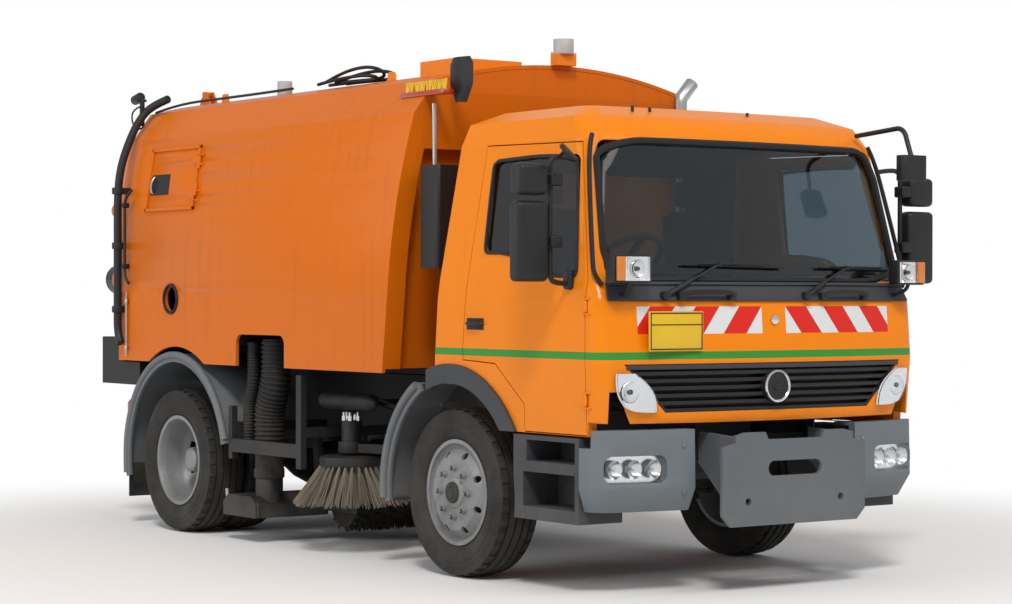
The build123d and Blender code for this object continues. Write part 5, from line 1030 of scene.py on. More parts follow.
# %% Hatch rim, hinges and latch
front, rear, foot, head = 3.050, 3.740, 2.150, 2.580
HATCH_RIM = 0.022
frames = ((front, rear, foot, foot + HATCH_RIM), (front, rear, head - HATCH_RIM, head),
          (front, front + HATCH_RIM, foot, head), (rear - HATCH_RIM, rear, foot, head))
parts = [side_panel(*frame_strip, 0.010, 0.016) for frame_strip in frames]
for z in (2.240, 2.420):
    ends = [hopper_side(front - 0.012, end_z, 0.016) for end_z in (z, z + 0.085)]
    parts.append(cylinder(*ends, 0.013, sides=16, edge=0.002))
finish_piece(joined(parts), "hatch_rim", "body_paint", "side_hatch")
pocket = side_panel(3.44, 3.70, 2.26, 2.40, 0.005, 0.010)
finish_piece(pocket, "hatch_latch_pocket", "frame_paint", "side_hatch")
HANDLE = ((2.275, 0.010), (2.290, 0.030), (2.370, 0.030), (2.385, 0.010))
handle = tube([hopper_side(3.66, z, out) for z, out in HANDLE], 0.008)
finish_piece(handle, "hatch_handle", "bare_steel", "side_hatch")

# %% [markdown]
# ## Water port on the hopper
# The port is a hole with a rolled collar, which a spin gives in one go.

# %% Port collar
collar = ((0.083, 0.000), (0.086, -0.012), (0.094, -0.016), (0.102, -0.010), (0.104, 0.000))
finish_piece(spun(collar, hopper_side(3.327, 1.556), "X", 48), "port_collar", "seal_rubber", "hopper")

# %% [markdown]
# ## Riser pipe on the rear corner
# A thin steel pipe runs up the rear corner of the hopper and bends over its roof edge. It is one
# bent tube of constant radius with three clamps, each a plate on the wall and a band round the
# pipe.

# %% Riser pipe and clamps
PIPE_X, PIPE_AFT, PIPE_RADIUS = -1.190, 4.040, 0.028
route = places(
    (PIPE_X, PIPE_AFT - 0.050, 1.250), (PIPE_X, PIPE_AFT, 1.310), (PIPE_X, PIPE_AFT, 1.500),
    (PIPE_X, PIPE_AFT, 2.000), (PIPE_X, PIPE_AFT, 2.300), (-1.165, PIPE_AFT, 2.480),
    (-1.098, PIPE_AFT, 2.660), (-1.030, 4.030, 2.800), (-0.950, 4.000, 2.900), (-0.905, 3.840, 2.940),
)
parts = [tube(route, PIPE_RADIUS, sides=20, smoothness=6)]
for z in (1.460, 1.900, 2.280):
    wall_x = hopper_side(PIPE_AFT, z)[0]
    parts.append(cylinder(*places((PIPE_X, PIPE_AFT, z), (PIPE_X, PIPE_AFT, z + 0.045)), 0.040, edge=0.003))
    parts.append(block(*places((PIPE_X, PIPE_AFT - 0.03, z), (wall_x + 0.004, PIPE_AFT + 0.03, z + 0.045))))
pipe = finish_piece(joined(parts), "riser_pipe", "black_plastic", "hopper")
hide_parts("suction_boom")

# %% Wash wand and its rod beside the pipe
route = places((-1.176, 3.86, 2.300), (-1.180, 3.95, 2.260), (-1.180, 3.955, 2.150),
               (-1.180, 3.950, 1.800), (-1.180, 3.950, 1.700), (-1.176, 3.90, 1.660))
finish_piece(tube(route, 0.010, sides=12), "wash_wand", "black_plastic", "hopper")
grips = [
    cylinder(*places((-1.152, 3.95, z), (-1.196, 3.95, z)), 0.018, sides=20, edge=0.003) for z in (1.78, 2.20)
]
finish_piece(joined(grips), "wand_grips", "seal_rubber", "hopper")
# foot, head, radius, edge
ROD = ((1.16, 1.60, 0.007, 0), (1.20, 1.23, 0.014, 0.002), (1.52, 1.55, 0.014, 0.002))
rod = [
    cylinder(*places((-1.168, 3.95, foot), (-1.168, 3.95, head)), radius, sides=12, edge=edge)
    for foot, head, radius, edge in ROD
]
finish_piece(joined(rod), "wand_rod", "bare_steel", "hopper")

# %% [markdown]
# ## Roof edge conduit, rear camera and hoses
# Cables run along the roof's right edge in a thin conduit, a small camera looks back from a
# bracket at the rear corner, and a water hose lies in loops on the roof.

# %% Conduit and camera
route = places((-0.935, 3.96, 2.850), (-0.900, 3.70, 2.896), (-0.890, 3.10, 2.898), (-0.890, 2.60, 2.898),
               (-0.870, 2.20, 2.905))
finish_piece(tube(route, 0.009, sides=12), "roof_conduit", "hose_rubber", "hopper")
parts = [
    cylinder(*places((-1.000, 4.06, 2.965), (-1.000, 4.16, 2.945)), 0.034, sides=28, edge=0.006),
    block(*places((-1.014, 4.03, 2.760), (-0.986, 4.06, 2.950))),
    block(*places((-1.040, 4.05, 2.930), (-0.960, 4.13, 2.948))),
]
finish_piece(joined(parts), "rear_camera", "black_plastic", "hopper")
route = places((-1.000, 4.045, 2.90), (-1.060, 4.07, 2.88), (-1.075, 4.06, 2.78), (-1.030, 4.03, 2.72),
               (-1.000, 4.02, 2.76))
free_line("camera_lead", route, 0.006, "hopper")

# %% Hose loops on the roof
# x and distance aft of the start, rise of the loop
LOOPS = ((-0.700, 2.08, 0.062), (-0.660, 2.02, 0.040), (-0.730, 2.12, 0.020))
for number, (x, back, lift) in enumerate(LOOPS):
    low = 2.948 - 0.006 * number
    loop = (
        (0, 0, -0.004), (0.01, -0.12, lift / 2), (0.02, -0.30, lift), (0.03, -0.48, 0.004 + lift),
        (0.07, -0.58, 0.004 + lift / 2), (0.13, -0.50, 0), (0.14, -0.30, 0), (0.10, -0.10, 0),
        (0.11, 0.04, 0),
    )
    route = places(*((x + dx, back + dy, low + dz) for dx, dy, dz in loop))
    free_line(f"roof_hose_{number + 1}", route, 0.011, "hopper")

# %% [markdown]
# ## Brush and shovel by the cab
# A broom, a shovel and their poles stand in a rack on the hopper's front corner. The broom's
# bristles are one comb made of many thin wedges, each leaning its own way, joined.

# %% Tool rack
pole = cylinder(*places((-0.940, 0.452, 1.90), (-0.940, 0.470, 2.700)), 0.014, sides=16)
finish_piece(pole, "broom_pole", "bare_steel", "hopper")
back = block(*places((-0.990, 0.300, 2.745), (-0.915, 0.760, 2.775)), 0.006)
finish_piece(back, "broom_back", "red_lens", "hopper")
random.seed(7)
comb = []
for number in range(46):
    y = aft(0.310) + 0.0096 * number
    lean = random.uniform(-0.006, 0.006)
    foot = (-0.955 + random.uniform(-0.022, 0.022), y, 2.774)
    comb.append(cylinder(foot, (-0.955 + lean, y + lean, 2.835), 0.008, sides=5, head_radius=0.003))
finish_piece(joined(comb), "broom_bristles", "plate_yellow", "hopper")


def shovel_point(u, v):
    """A point on the shovel's hollow blade: narrow at the foot, rounded at the head."""
    across = 2 * u - 1
    narrow = 0.115 * min(1.0, 0.45 + 1.4 * v) * (1 - 0.25 * max(0.0, v - 0.85) / 0.15)
    return (-0.860 - 0.030 * (1 - across * across), aft(0.300) + narrow * across, 2.700 + 0.260 * v)


blade = modify(shaped_grid(8, 14, shovel_point), "SOLIDIFY", thickness=0.004)
finish_piece(blade, "shovel_blade", "frame_paint", "hopper", smooth=60)

# %% [markdown]
# ## Ribbed suction hoses
# A suction hose is a rubber wall round a wire coil, so its ribs stand at an even pitch. The core
# is a bent tube; each rib is a torus set square to the line of the hose, found from the tube's own
# spline. One rib is modelled and copied.


# %% Ribbed hose
def ribbed_hose(points, radius, pitch, rib_radius):
    """A bent tube with ribs at a pitch along it."""
    parts = [tube(points, radius - rib_radius, sides=28, smoothness=8)]
    deselect()
    bpy.ops.mesh.primitive_torus_add(
        major_radius=radius - rib_radius, minor_radius=rib_radius, major_segments=28, minor_segments=8,
    )
    rib = apply_place(bpy.context.object)
    line = line_of(points)
    walked, due = 0.0, pitch / 2
    for here, there in zip(line, line[1:]):
        step = (there - here).length
        turn = Vector((0, 0, 1)).rotation_difference(there - here).to_matrix().to_4x4()
        while due <= walked + step:
            spot = here.lerp(there, (due - walked) / step)
            parts.append(copy_moved(rib, Matrix.Translation(spot) @ turn))
            due += pitch
        walked += step
    bpy.data.objects.remove(rib)
    return joined(parts)


thick = ribbed_hose(places(
    (-0.985, 2.295, 0.560), (-0.985, 2.295, 0.700), (-0.985, 2.295, 0.840),
    (-0.985, 2.205, 1.040), (-0.985, 2.205, 1.180), (-0.985, 2.205, 1.302),
), 0.098, 0.030, 0.010)
thin = ribbed_hose(places(
    (-1.050, 2.440, 0.648), (-1.050, 2.440, 0.780), (-1.050, 2.440, 0.900),
    (-1.050, 2.385, 1.020), (-1.050, 2.385, 1.120), (-1.050, 2.385, 1.280),
), 0.042, 0.020, 0.006)
# radius, height
SLEEVE = ((0.090, 0.411), (0.098, 0.420), (0.098, 0.470), (0.090, 0.480), (0.090, 0.560), (0.098, 0.570),
          (0.098, 0.590), (0.086, 0.598))
sleeve = spun(SLEEVE, (-0.985, aft(2.295), 0), "Z", 48)
hoses = finish_piece(joined([thick, sleeve, thin]), "ribbed_hoses", "hose_rubber", "chassis", smooth=60)
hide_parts("suction_hoses")

# %% [markdown]
# ## Bristles of the brushes
# The side brush is a plate with clumps of bristles that flare out and end ragged, in two rings.
# The roller is a dark core with rows of short stiff bristles on a spiral. Every bristle is one
# thin cone, copied thousands of times with its own turn and length. The copies are written
# straight into one mesh, because thousands of objects to join would take minutes.


# %% Many bristles
def wire_mesh(pairs, radius, tip):
    """Many three-sided tapered wires in one mesh, copied from one cone by its points."""
    deselect()
    bpy.ops.mesh.primitive_cone_add(vertices=3, radius1=radius, radius2=tip, depth=1, location=(0, 0, 0))
    pattern = bpy.context.object
    corners = [v.co.copy() for v in pattern.data.vertices]
    faces = [tuple(p.vertices) for p in pattern.data.polygons]
    bpy.data.objects.remove(pattern)
    points, polygons = [], []
    for head, foot in pairs:
        span = foot - head
        turn = Vector((0, 0, 1)).rotation_difference(span).to_matrix()
        base = len(points)
        points += [head + span / 2 + turn @ Vector((c.x, c.y, c.z * span.length)) for c in corners]
        polygons += [tuple(base + i for i in face) for face in faces]
    mesh = bpy.data.meshes.new("wires")
    mesh.from_pydata(points, [], polygons)
    obj = bpy.data.objects.new("wires", mesh)
    bpy.context.scene.collection.objects.link(obj)
    return obj


# %% Side brush
BRUSH = Vector((-0.860, aft(1.500), 0.0))
# radius, height
PLATE = ((0.040, 0.598), (0.170, 0.598), (0.196, 0.588), (0.200, 0.560), (0.196, 0.535), (0.040, 0.533))
finish_piece(spun(PLATE, BRUSH, "Z", 64), "brush_plate", "gear_paint", "side_brush")
random.seed(11)
wires = []
for ring_radius, tip_radius, clumps in ((0.170, 0.350, 30), (0.115, 0.255, 22)):
    for number in range(clumps):
        angle = 2 * math.pi * number / clumps + random.uniform(-0.03, 0.03)
        for _ in range(15):
            near = angle + random.uniform(-0.035, 0.035)
            far = angle + random.uniform(-0.105, 0.105)
            start = ring_radius + random.uniform(-0.014, 0.014)
            end = tip_radius + random.uniform(-0.035, 0.012)
            head = BRUSH + Vector((start * math.cos(near), start * math.sin(near), 0.548))
            foot_z = 0.288 + random.uniform(0, 0.035)
            wires.append((head, BRUSH + Vector((end * math.cos(far), end * math.sin(far), foot_z))))
brush = wire_mesh(wires, 0.0042, 0.0028)
finish_piece(brush, "side_brush_bristles", "bristles", "side_brush", smooth=60)
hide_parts("side_brush")
print("side brush:", len(wires), "bristles")

# %% Roller brush
ROWS, IN_A_ROW = 16, 110
ROLLER = Vector((0, aft(2.120), 0.245))
ends = [(x, ROLLER.y, ROLLER.z) for x in (-0.535, 0.845)]
finish_piece(cylinder(*ends, 0.158, sides=48), "roller_core", "frame_paint", "roller_brush")
random.seed(5)
wires = []
for row in range(ROWS):
    for number in range(IN_A_ROW):
        share = number / (IN_A_ROW - 1)
        x = -0.530 + 1.365 * share
        angle = 2 * math.pi * (row / ROWS + 0.6 * share) + random.uniform(-0.08, 0.08)
        out = Vector((0, math.cos(angle), math.sin(angle)))
        tip_x = max(-0.536, min(0.846, x + random.uniform(-0.010, 0.010)))
        foot = ROLLER + out * 0.150 + Vector((x, 0, 0))
        wires.append((foot, ROLLER + out * random.uniform(0.184, 0.196) + Vector((tip_x, 0, 0))))
roller = wire_mesh(wires, 0.0075, 0.0050)
finish_piece(roller, "roller_bristles", "roller_fibre", "roller_brush", smooth=60)
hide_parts("roller_brush")
print("roller brush:", len(wires), "bristles")

# %% [markdown]
# ## Fittings between the axles
# Hoses, valves and a motor crowd the space between the wheels. Bright hydraulic fittings stand on
# the brush motor, thin hoses hang between them and the frame, and a rubber flap skirts the nozzle.

# %% Brush motor fittings
parts = []
for number in range(5):
    angle = 0.5 + number * 1.15
    x, y = BRUSH.x + 0.048 * math.cos(angle), BRUSH.y + 0.048 * math.sin(angle)
    parts.append(cylinder((x, y, 0.800), (x, y, 0.840), 0.012, sides=6))
    parts.append(cylinder((x, y, 0.838), (x, y, 0.862), 0.009, sides=12))
finish_piece(joined(parts), "motor_fittings", "chrome", "brush_arm")
for number, (dx, dz) in enumerate(((0.02, 0.00), (0.05, 0.03), (-0.01, 0.05))):
    x, y = BRUSH.x + dx, BRUSH.y
    route = [(x, y, 0.850), (x, y, 0.910 + dz)]
    route += places((x + 0.06, 1.40, 0.930 + dz), (-0.70 + dx, 1.05, 0.820 + dz), (-0.60 + dx, 0.85, 0.760))
    free_line(f"motor_hose_{number + 1}", route, 0.010, "brush_arm")

# %% Nozzle flap and runner
flap = block(*places((-1.132, 2.180, 0.172), (-1.122, 2.600, 0.262)), 0.002)
finish_piece(flap, "nozzle_flap", "hose_rubber", "chassis")
route = places((-1.118, 2.610, 0.330), (-1.118, 2.600, 0.250), (-1.118, 2.540, 0.205), (-1.118, 2.400, 0.190))
finish_piece(tube(route, 0.012, sides=12, smoothness=6), "nozzle_runner", "bare_steel", "chassis")

# %% [markdown]
# ## Grille backing and door trim
# Behind the slats lies the radiator, which shows only as a dark surface. The door windows sit in
# rubber, and each door has a pull handle in a dark recess.

# %% Grille backing
radiator = front_panel((0.955, 0.985), (0.985, 1.215), -0.070, 0.004, across=20, up=3)
finish_piece(radiator, "grille_backing", "frame_paint", "cab")
lip = front_panel((0.975, 1.200), (0.975, 1.224), -0.002, 0.008, across=24, up=1, edge=0.002)
finish_piece(lip, "grille_lip_top", "cowl_plastic", "cab")

# %% Door windows and handles
WINDOW = [
    (-0.300, 1.822), (-0.303, 2.100), (-0.310, 2.325), (-0.700, 2.337), (-1.070, 2.325), (-1.120, 2.000),
    (-1.162, 1.690), (-0.980, 1.690), (-0.800, 1.712), (-0.640, 1.795), (-0.450, 1.820),
]
HANDLE = ((-0.320, 1.428, 0.004), (-0.305, 1.430, 0.030), (-0.190, 1.432, 0.030), (-0.172, 1.430, 0.004))
bead_line = [point for ends in zip(WINDOW, WINDOW[1:] + WINDOW[:1]) for point in along(*ends, 3)]
for side, word in SIDES:
    door = f"door_{word}"
    bead = [cab_side(side, *point, 0.001) for point in bead_line]
    bead = tube(bead, 0.011, sides=8, smoothness=3, closed=True)
    finish_piece(bead, f"window_bead_{door}", "seal_rubber", door)
    corners = [cab_side(side, -0.325, 1.396, 0.001), cab_side(side, -0.165, 1.460, 0.004)]
    low, high = [[extreme(a, b) for a, b in zip(*corners)] for extreme in (min, max)]
    finish_piece(block(low, high, edge=0.0012), f"handle_pocket_{door}", "seal_rubber", door)
    bar = tube([cab_side(side, *point) for point in HANDLE], 0.011, sides=14)
    finish_piece(bar, f"door_handle_{door}", "black_plastic", door)

# %% [markdown]
# ## Bumper lamps
# Each bumper lamp is a long clear lens over a mirror-bright tray with three round bowls. The tray
# and lens follow the bumper's bow, and every bowl is one spun profile with a bulb in its middle.


# %% Bumper lamps
LAMP_Z = 0.680


def bumper_front(x, z, out=0.0):
    """A point on the bumper's bowed front."""
    return (x, aft(-1.492 + 0.136 * (x / 1.140) ** 2) - out, z)


def lamp_sheet(middle_x, depth):
    """A long rounded sheet behind the bumper's front."""
    deselect()
    bpy.ops.mesh.primitive_circle_add(vertices=48, fill_type="NGON", radius=1)
    obj = bpy.context.object
    for vertex in obj.data.vertices:
        angle = math.atan2(vertex.co.y, vertex.co.x)
        across = 0.176 * math.copysign(abs(math.cos(angle)) ** 0.35, math.cos(angle))
        up_by = 0.071 * math.copysign(abs(math.sin(angle)) ** 0.55, math.sin(angle))
        vertex.co = bumper_front(middle_x + across, LAMP_Z + up_by, -depth)
    return modify(obj, "SOLIDIFY", thickness=0.004, offset=0)


BUMPER_BOWL = ((0.050, 0.000), (0.046, 0.004), (0.036, 0.018), (0.018, 0.026), (0.012, 0.028))
for side, word in SIDES:
    lamp = lamp_sheet(side * 0.9225, 0.008)
    finish_piece(lamp, f"bumper_lamp_lens_{word}", "lamp_glass", "chassis")
    finish_piece(lamp_sheet(side * 0.9225, 0.058), f"bumper_lamp_tray_{word}", "reflector", "chassis")
    if side < 0:
        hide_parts("headlamps")
    bowls, bulbs = [], []
    for across in (0.805, 0.918, 1.030):
        x, y, z = bumper_front(side * across, LAMP_Z, -0.026)
        bowls.append(spun(BUMPER_BOWL, (x, y, z), "Y", 32))
        bulbs.append(cylinder((x, y + 0.026, z), (x, y + 0.006, z), 0.009, sides=16, edge=0.003))
    finish_piece(joined(bowls), f"bumper_lamp_bowls_{word}", "chrome", "chassis", smooth=60)
    finish_piece(joined(bulbs), f"bumper_lamp_bulbs_{word}", "white_lens", "chassis")

# %% [markdown]
# ## High corner lamps
# Two work lamps stand on short stalks beside the windscreen's foot. The outer third of each is
# amber and the rest is clear.


# %% High corner lamps
def open_case(low, high, rim, depth):
    """A box whose front face is pressed in, leaving a rim."""
    obj = block(low, high, edge=0)
    pick(obj)
    for face in obj.data.polygons:
        face.select = face.normal.y < -0.9
    bpy.ops.object.mode_set(mode="EDIT")
    bpy.ops.mesh.select_mode(type="FACE")
    bpy.ops.mesh.inset(thickness=rim)
    bpy.ops.transform.translate(value=(0, depth, 0))
    bpy.ops.object.mode_set(mode="OBJECT")
    return modify(obj, "BEVEL", width=0.005, segments=3, limit_method="ANGLE")


RIM, AMBER_WIDTH = 0.010, 0.052
HIGH_BOWL = ((0.046, 0.000), (0.042, -0.006), (0.022, 0.000), (0.012, 0.001))
face_y = aft(-1.500)


def layer(x_ends, z_ends, front, back, edge):
    """A block in a lamp's opening, between two depths behind its face."""
    return block((min(x_ends), face_y + front, z_ends[0]), (max(x_ends), face_y + back, z_ends[1]), edge)


# outer and inner x, foot, head
HIGH_LAMPS = {"right": (-1.130, -0.893, 1.652, 1.799), "left": (1.090, 0.886, 1.649, 1.788)}
for word, (outer, inner, low_z, high_z) in HIGH_LAMPS.items():
    side = math.copysign(1, outer)
    split = outer - side * (RIM + AMBER_WIDTH)
    low_x, high_x = sorted((outer, inner))
    z_ends = (low_z + RIM + 0.001, high_z - RIM - 0.001)
    case = open_case((low_x, face_y, low_z), (high_x, face_y + 0.075, high_z), RIM, 0.024)
    finish_piece(case, f"high_lamp_case_{word}", "black_plastic", "cab")
    amber = layer((outer - side * RIM * 1.1, split), z_ends, 0.003, 0.022, 0.004)
    finish_piece(amber, f"high_lamp_amber_{word}", "amber_lens", "cab")
    ends = (split - side * 0.008, inner + side * RIM * 1.1)
    finish_piece(layer(ends, z_ends, 0.018, 0.023, 0.001), f"high_lamp_tray_{word}", "reflector", "cab")
    finish_piece(layer(ends, z_ends, 0.004, 0.008, 0.001), f"high_lamp_clear_{word}", "lamp_glass", "cab")
    middle = Vector((sum(ends) / 2, face_y + 0.017, (low_z + high_z) / 2))
    bowl = spun(HIGH_BOWL, middle, "Y", 32)
    finish_piece(bowl, f"high_lamp_bowl_{word}", "chrome", "cab", smooth=60)
    bulb = cylinder(middle, middle + Vector((0, -0.007, 0)), 0.011, sides=16, edge=0.002)
    finish_piece(bulb, f"high_lamp_bulb_{word}", "cowl_plastic", "cab")
    x = (outer + inner) / 2
    route = [(x, face_y + 0.045, low_z + 0.010), (x, face_y + 0.050, low_z - 0.045)]
    route.append(cab_front(x * 0.97, 1.590, 0.004))
    finish_piece(tube(route, 0.011, sides=12), f"high_lamp_stalk_{word}", "black_plastic", "cab")

# %% [markdown]
# ## Seats
# A truck seat is a foam base and back under cloth, on a plastic pedestal. Each cushion starts as a
# block that is subdivided. Its faces are then crowned, and its sides are pulled in between the
# corners, as stretched cloth pulls foam.


# %% Crowned cushions
def cushion(low, high, lean=0.0, crown=0.022):
    """A padded block between two corners, leaning back about its foot."""
    obj = block(low, high, edge=0.0)
    whole_mesh(obj, bpy.ops.mesh.subdivide, number_cuts=9)
    middle = [(a + b) / 2 for a, b in zip(low, high)]
    half = [(b - a) / 2 for a, b in zip(low, high)]
    for vertex in obj.data.vertices:
        share = [(vertex.co[k] - middle[k]) / half[k] for k in range(3)]
        for k in range(3):
            others = [share[j] for j in range(3) if j != k]
            swell = (1 - others[0] ** 2) * (1 - others[1] ** 2)
            pulled = 0.10 * max(0.0, max(abs(o) for o in others) - 0.55) ** 1.5
            vertex.co[k] = middle[k] + half[k] * share[k] * (0.93 - pulled) + crown * swell * share[k] * 0.6
    modify(obj, "SUBSURF", levels=1, render_levels=1)
    hinge = Vector((middle[0], high[1], low[2]))
    obj.data.transform(Matrix.Translation(hinge) @ Matrix.Rotation(lean, 4, "X") @ Matrix.Translation(-hinge))
    return obj


# half width, front and rear distance aft, foot, head, lean
CUSHIONS = {
    "base": (0.25, -0.630, -0.130, 1.400, 1.520, 0.0),
    "back": (0.25, -0.215, -0.105, 1.520, 2.090, -0.10),
    "headrest": (0.13, -0.125, -0.050, 2.110, 2.270, 0.0),
}
for side, word in SIDES:
    middle = side * 0.560
    for name, (half, front, rear, foot, head, lean) in CUSHIONS.items():
        piece = cushion(*places((middle - half, front, foot), (middle + half, rear, head)), lean)
        finish_piece(piece, f"seat_{name}_{word}", "seat_cloth", "cab", smooth=60)
        if name == "base" and side < 0:
            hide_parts("seats")
    stand = block(*places((middle - 0.180, -0.520, 1.137), (middle + 0.180, -0.160, 1.400)), edge=0.020)
    finish_piece(stand, f"seat_stand_{word}", "interior_plastic", "cab")

# %% [markdown]
# ## Edges of the mudguards
# The guards end in a thick rolled edge. A tube bent round the wheel's axis gives it; a black flap
# hangs behind the rear wheels.


# %% Rolled edges and flaps
def guard_edge(x, axle_y, radius, start, end):
    """A rolled edge round an axle, from one angle to another in degrees."""
    angles = [math.radians(start + (end - start) * k / 14) for k in range(15)]
    line = [(x, axle_y + radius * math.cos(a), AXLE_Z + radius * math.sin(a)) for a in angles]
    return tube(line, 0.024, sides=12)


# x, axle, radius, start, end
GUARDS = {"front": (1.146, FRONT_AXLE_Y, 0.686, -6, 60), "rear": (1.158, REAR_AXLE_Y, 0.708, -10, 166)}
for side, word in SIDES:
    for place, (x, *arc) in GUARDS.items():
        edge = guard_edge(side * x, *arc)
        finish_piece(edge, f"guard_edge_{place}_{word}", "guard_plastic", "chassis", smooth=60)
    low, high = sorted((side * 0.600, side * 1.145))
    flap = block((low, REAR_AXLE_Y + 0.686, 0.190), (high, REAR_AXLE_Y + 0.696, 0.420), edge=0.003)
    finish_piece(flap, f"mudflap_{word}", "hose_rubber", "chassis")

# %% [markdown]
# ## Bolts and aerials
# Bolt heads hold the bumper's ends; short aerials stand on the cab's roof.

# %% Bolts and aerials
heads = []
for side in (-1, 1):
    for height in (0.560, 0.800):
        x, y, z = bumper_front(side * 0.640, height, -0.002)
        heads.append(cylinder((x, y + 0.006, z), (x, y - 0.010, z), 0.012, sides=6, edge=0.001))
finish_piece(joined(heads), "bumper_bolts", "nut_steel", "chassis")
aerials = []
for x, height in ((-0.62, 0.055), (-0.50, 0.050), (0.20, 0.050)):
    rod_ends = places((x, -0.98, 2.540), (x, -0.98, 2.560 + height))
    aerials.append(cylinder(*rod_ends, 0.009, sides=12, edge=0.003))
    aerials.append(cylinder(*places((x, -0.98, 2.535), (x, -0.98, 2.560)), 0.024, sides=20, edge=0.006))
finish_piece(joined(aerials), "roof_aerials", "black_plastic", "cab")

# %% [markdown]
# ## Door mirrors
# A truck's mirror set hangs on one bent steel tube from the door's foot to its head, with a small
# wide-angle housing over a tall one. Each housing is a block with a wide bevel, and its glass
# faces aft. The set swings with the door, so it rides on it. The right set also has a round
# kerb mirror on a short stay.

# %% Mirror housings, tube and clamps
MIRROR_X, MIRROR_AFT, TUBE_X, FOOT_X = 1.400, -1.105, 1.265, 1.131
# middle height, height, width, depth
HOUSINGS = ((1.868, 0.420, 0.205, 0.095), (2.190, 0.165, 0.185, 0.110))
# x, z of the tube's bends
BENDS = ((FOOT_X, 1.650), (1.200, 1.648), (TUBE_X, 1.665), (TUBE_X, 1.740), (TUBE_X, 2.000), (TUBE_X, 2.220),
         (TUBE_X, 2.300), (1.200, 2.318), (1.085, 2.300))
for side, word in SIDES:
    tube_x, foot_x = side * TUBE_X, side * FOOT_X
    y = aft(MIRROR_AFT)
    parts = [
        tube([(side * x, y, z) for x, z in BENDS], 0.014, sides=16, smoothness=6),
        block((foot_x - 0.034, y - 0.034, 1.617), (foot_x + 0.034, y + 0.034, 1.720), 0.020, 4),
    ]
    glasses = []
    for middle, height, width, depth in HOUSINGS:
        low_x, high_x = side * MIRROR_X - width / 2, side * MIRROR_X + width / 2
        low_z, high_z = middle - height / 2, middle + height / 2
        back_y = y + depth / 2
        clamp = ((tube_x - 0.026, y - 0.050, middle - 0.032), (tube_x + 0.050, y + 0.026, middle + 0.032))
        pane = (
            (low_x + 0.030, back_y - 0.004, low_z + 0.030),
            (high_x - 0.030, back_y - 0.001, high_z - 0.030),
        )
        parts.append(block((low_x, y - depth / 2, low_z), (high_x, back_y, high_z), edge=0.030, steps=5))
        parts.append(block(*clamp, 0.010, 3))
        glasses.append(block(*pane, 0.001))
    if side < 0:
        dish_ends = places((-1.243, -1.252, 2.334), (-1.257, -1.238, 2.316))
        stay = places((-1.200, MIRROR_AFT, 2.312), (-1.225, -1.170, 2.345), (-1.245, -1.238, 2.335))
        parts += [cylinder(*dish_ends, 0.060, sides=32, edge=0.008), tube(stay, 0.010, sides=12)]
    mirror = finish_piece(joined(parts), f"door_mirror_{word}", "black_plastic", f"door_{word}", smooth=50)
    finish_piece(joined(glasses), f"door_mirror_glass_{word}", "mirror_glass", f"door_{word}")
    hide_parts(f"mirror_{word}")

# %% Black moulding along the screen's right and left pillars
PILLAR = ((0.995, 2.440, 0.004), (1.030, 2.380, 0.004), (1.075, 2.060, 0.004), (1.108, 1.780, 0.004),
          (1.115, 1.690, 0.004), (1.080, 1.640, 0.006))
for side, word in SIDES:
    line = [cab_front(side * x, z, out) for x, z, out in PILLAR]
    trim = tube(line, 0.013, sides=12, smoothness=6)
    finish_piece(trim, f"pillar_moulding_{word}", "seal_rubber", "cab", smooth=60)

# %% [markdown]
# ## Studio
# A plain pale floor and a soft, even light. The floor and the world show white to the camera and
# in reflections, by their own materials, and light the truck at a plain level: a broad key from
# the front right, a weaker fill from the left, and a long strip overhead.

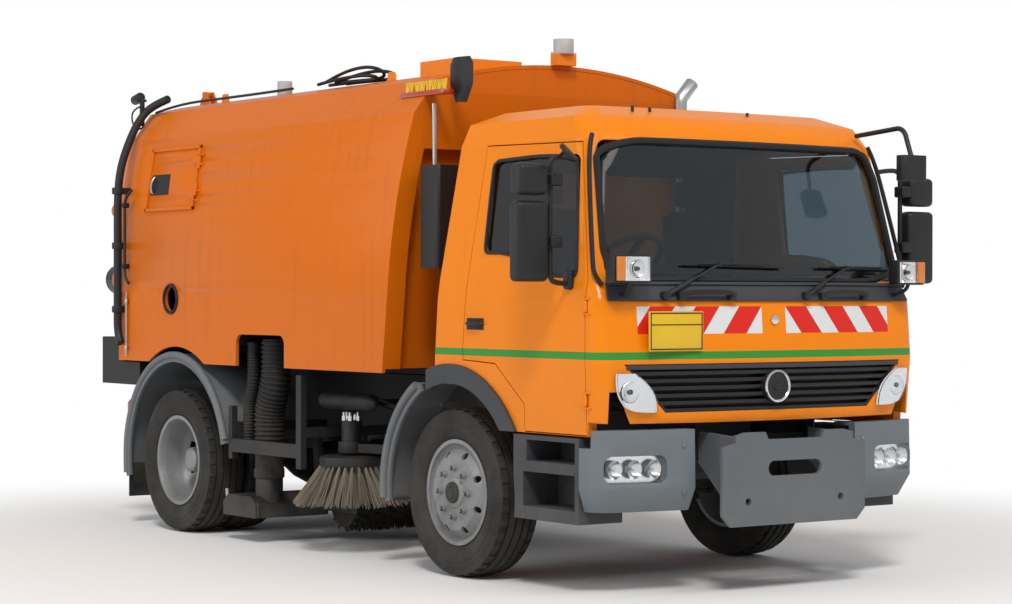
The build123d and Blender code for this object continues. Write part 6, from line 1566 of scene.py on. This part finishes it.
# %% Floor
deselect()
bpy.ops.mesh.primitive_circle_add(vertices=96, radius=60, fill_type="NGON", location=(0, 0, 0))
floor = bpy.context.object
floor.name = "studio_floor"
material = bpy.data.materials.new("studio_floor")
material.use_nodes = True
tree = material.node_tree
tree.nodes.clear()
out = add_node(tree, "OutputMaterial")
matte = add_node(tree, "BsdfDiffuse", {"Color": (0.90, 0.90, 0.90, 1)})
glow = add_node(tree, "Emission", {"Color": (1, 1, 1, 1), "Strength": 1.0})
away = add_node(tree, "VectorMath", {0: object_place(tree)}, operation="LENGTH").outputs["Value"]
near_to_far = {"Value": away, "From Min": 3.0, "From Max": 6.5}
far = add_node(tree, "MapRange", near_to_far, interpolation_type="SMOOTHSTEP")
path = add_node(tree, "LightPath")
seen = maths(tree, "MAXIMUM", path.outputs["Is Camera Ray"], path.outputs["Is Glossy Ray"])
seen = maths(tree, "MAXIMUM", seen, path.outputs["Is Transmission Ray"])
mixed = {0: product(tree, far.outputs[0], seen), 1: matte.outputs[0], 2: glow.outputs[0]}
feed(tree, out.inputs["Surface"], add_node(tree, "MixShader", mixed).outputs[0])
floor.data.materials.append(material)

# %% World
world = bpy.data.worlds.new("studio")
bpy.context.scene.world = world
world.use_nodes = True
tree = world.node_tree
tree.nodes.clear()
out = add_node(tree, "OutputWorld")
path = add_node(tree, "LightPath")
seen = maths(tree, "MAXIMUM", path.outputs["Is Camera Ray"], path.outputs["Is Transmission Ray"])
seen = maths(tree, "MAXIMUM", seen, product(tree, path.outputs["Is Glossy Ray"], 0.35))
soft = add_node(tree, "Background", {"Color": (0.97, 0.98, 1.0, 1), "Strength": 0.40})
white = add_node(tree, "Background", {"Color": (1, 1, 1, 1), "Strength": 1.0})
mixed = {0: seen, 1: soft.outputs[0], 2: white.outputs[0]}
feed(tree, out.inputs["Surface"], add_node(tree, "MixShader", mixed).outputs[0])
print("studio: floor and world")


# %% Lights
def light(name, kind, power, direction, place=(0, 0, 0), **settings):
    """One light that shines along a direction."""
    data = bpy.data.lights.new(name, kind)
    data.energy = power
    for key, value in settings.items():
        setattr(data, key, value)
    lamp = bpy.data.objects.new(name, data)
    bpy.context.scene.collection.objects.link(lamp)
    lamp.location = place
    lamp.rotation_euler = Vector(direction).to_track_quat("-Z", "Y").to_euler()
    print("light:", name, power)


light("key", "SUN", 1.4, (0.42, 0.55, -0.72), angle=math.radians(11), color=(1.0, 0.965, 0.92))
light("fill", "AREA", 380, (12, -2, -3.8), (-12, 2, 5), shape="RECTANGLE", size=10, size_y=5)
light("strip", "AREA", 260, (0, 9, -6.5), (0, -9, 8), shape="RECTANGLE", size=9, size_y=3)
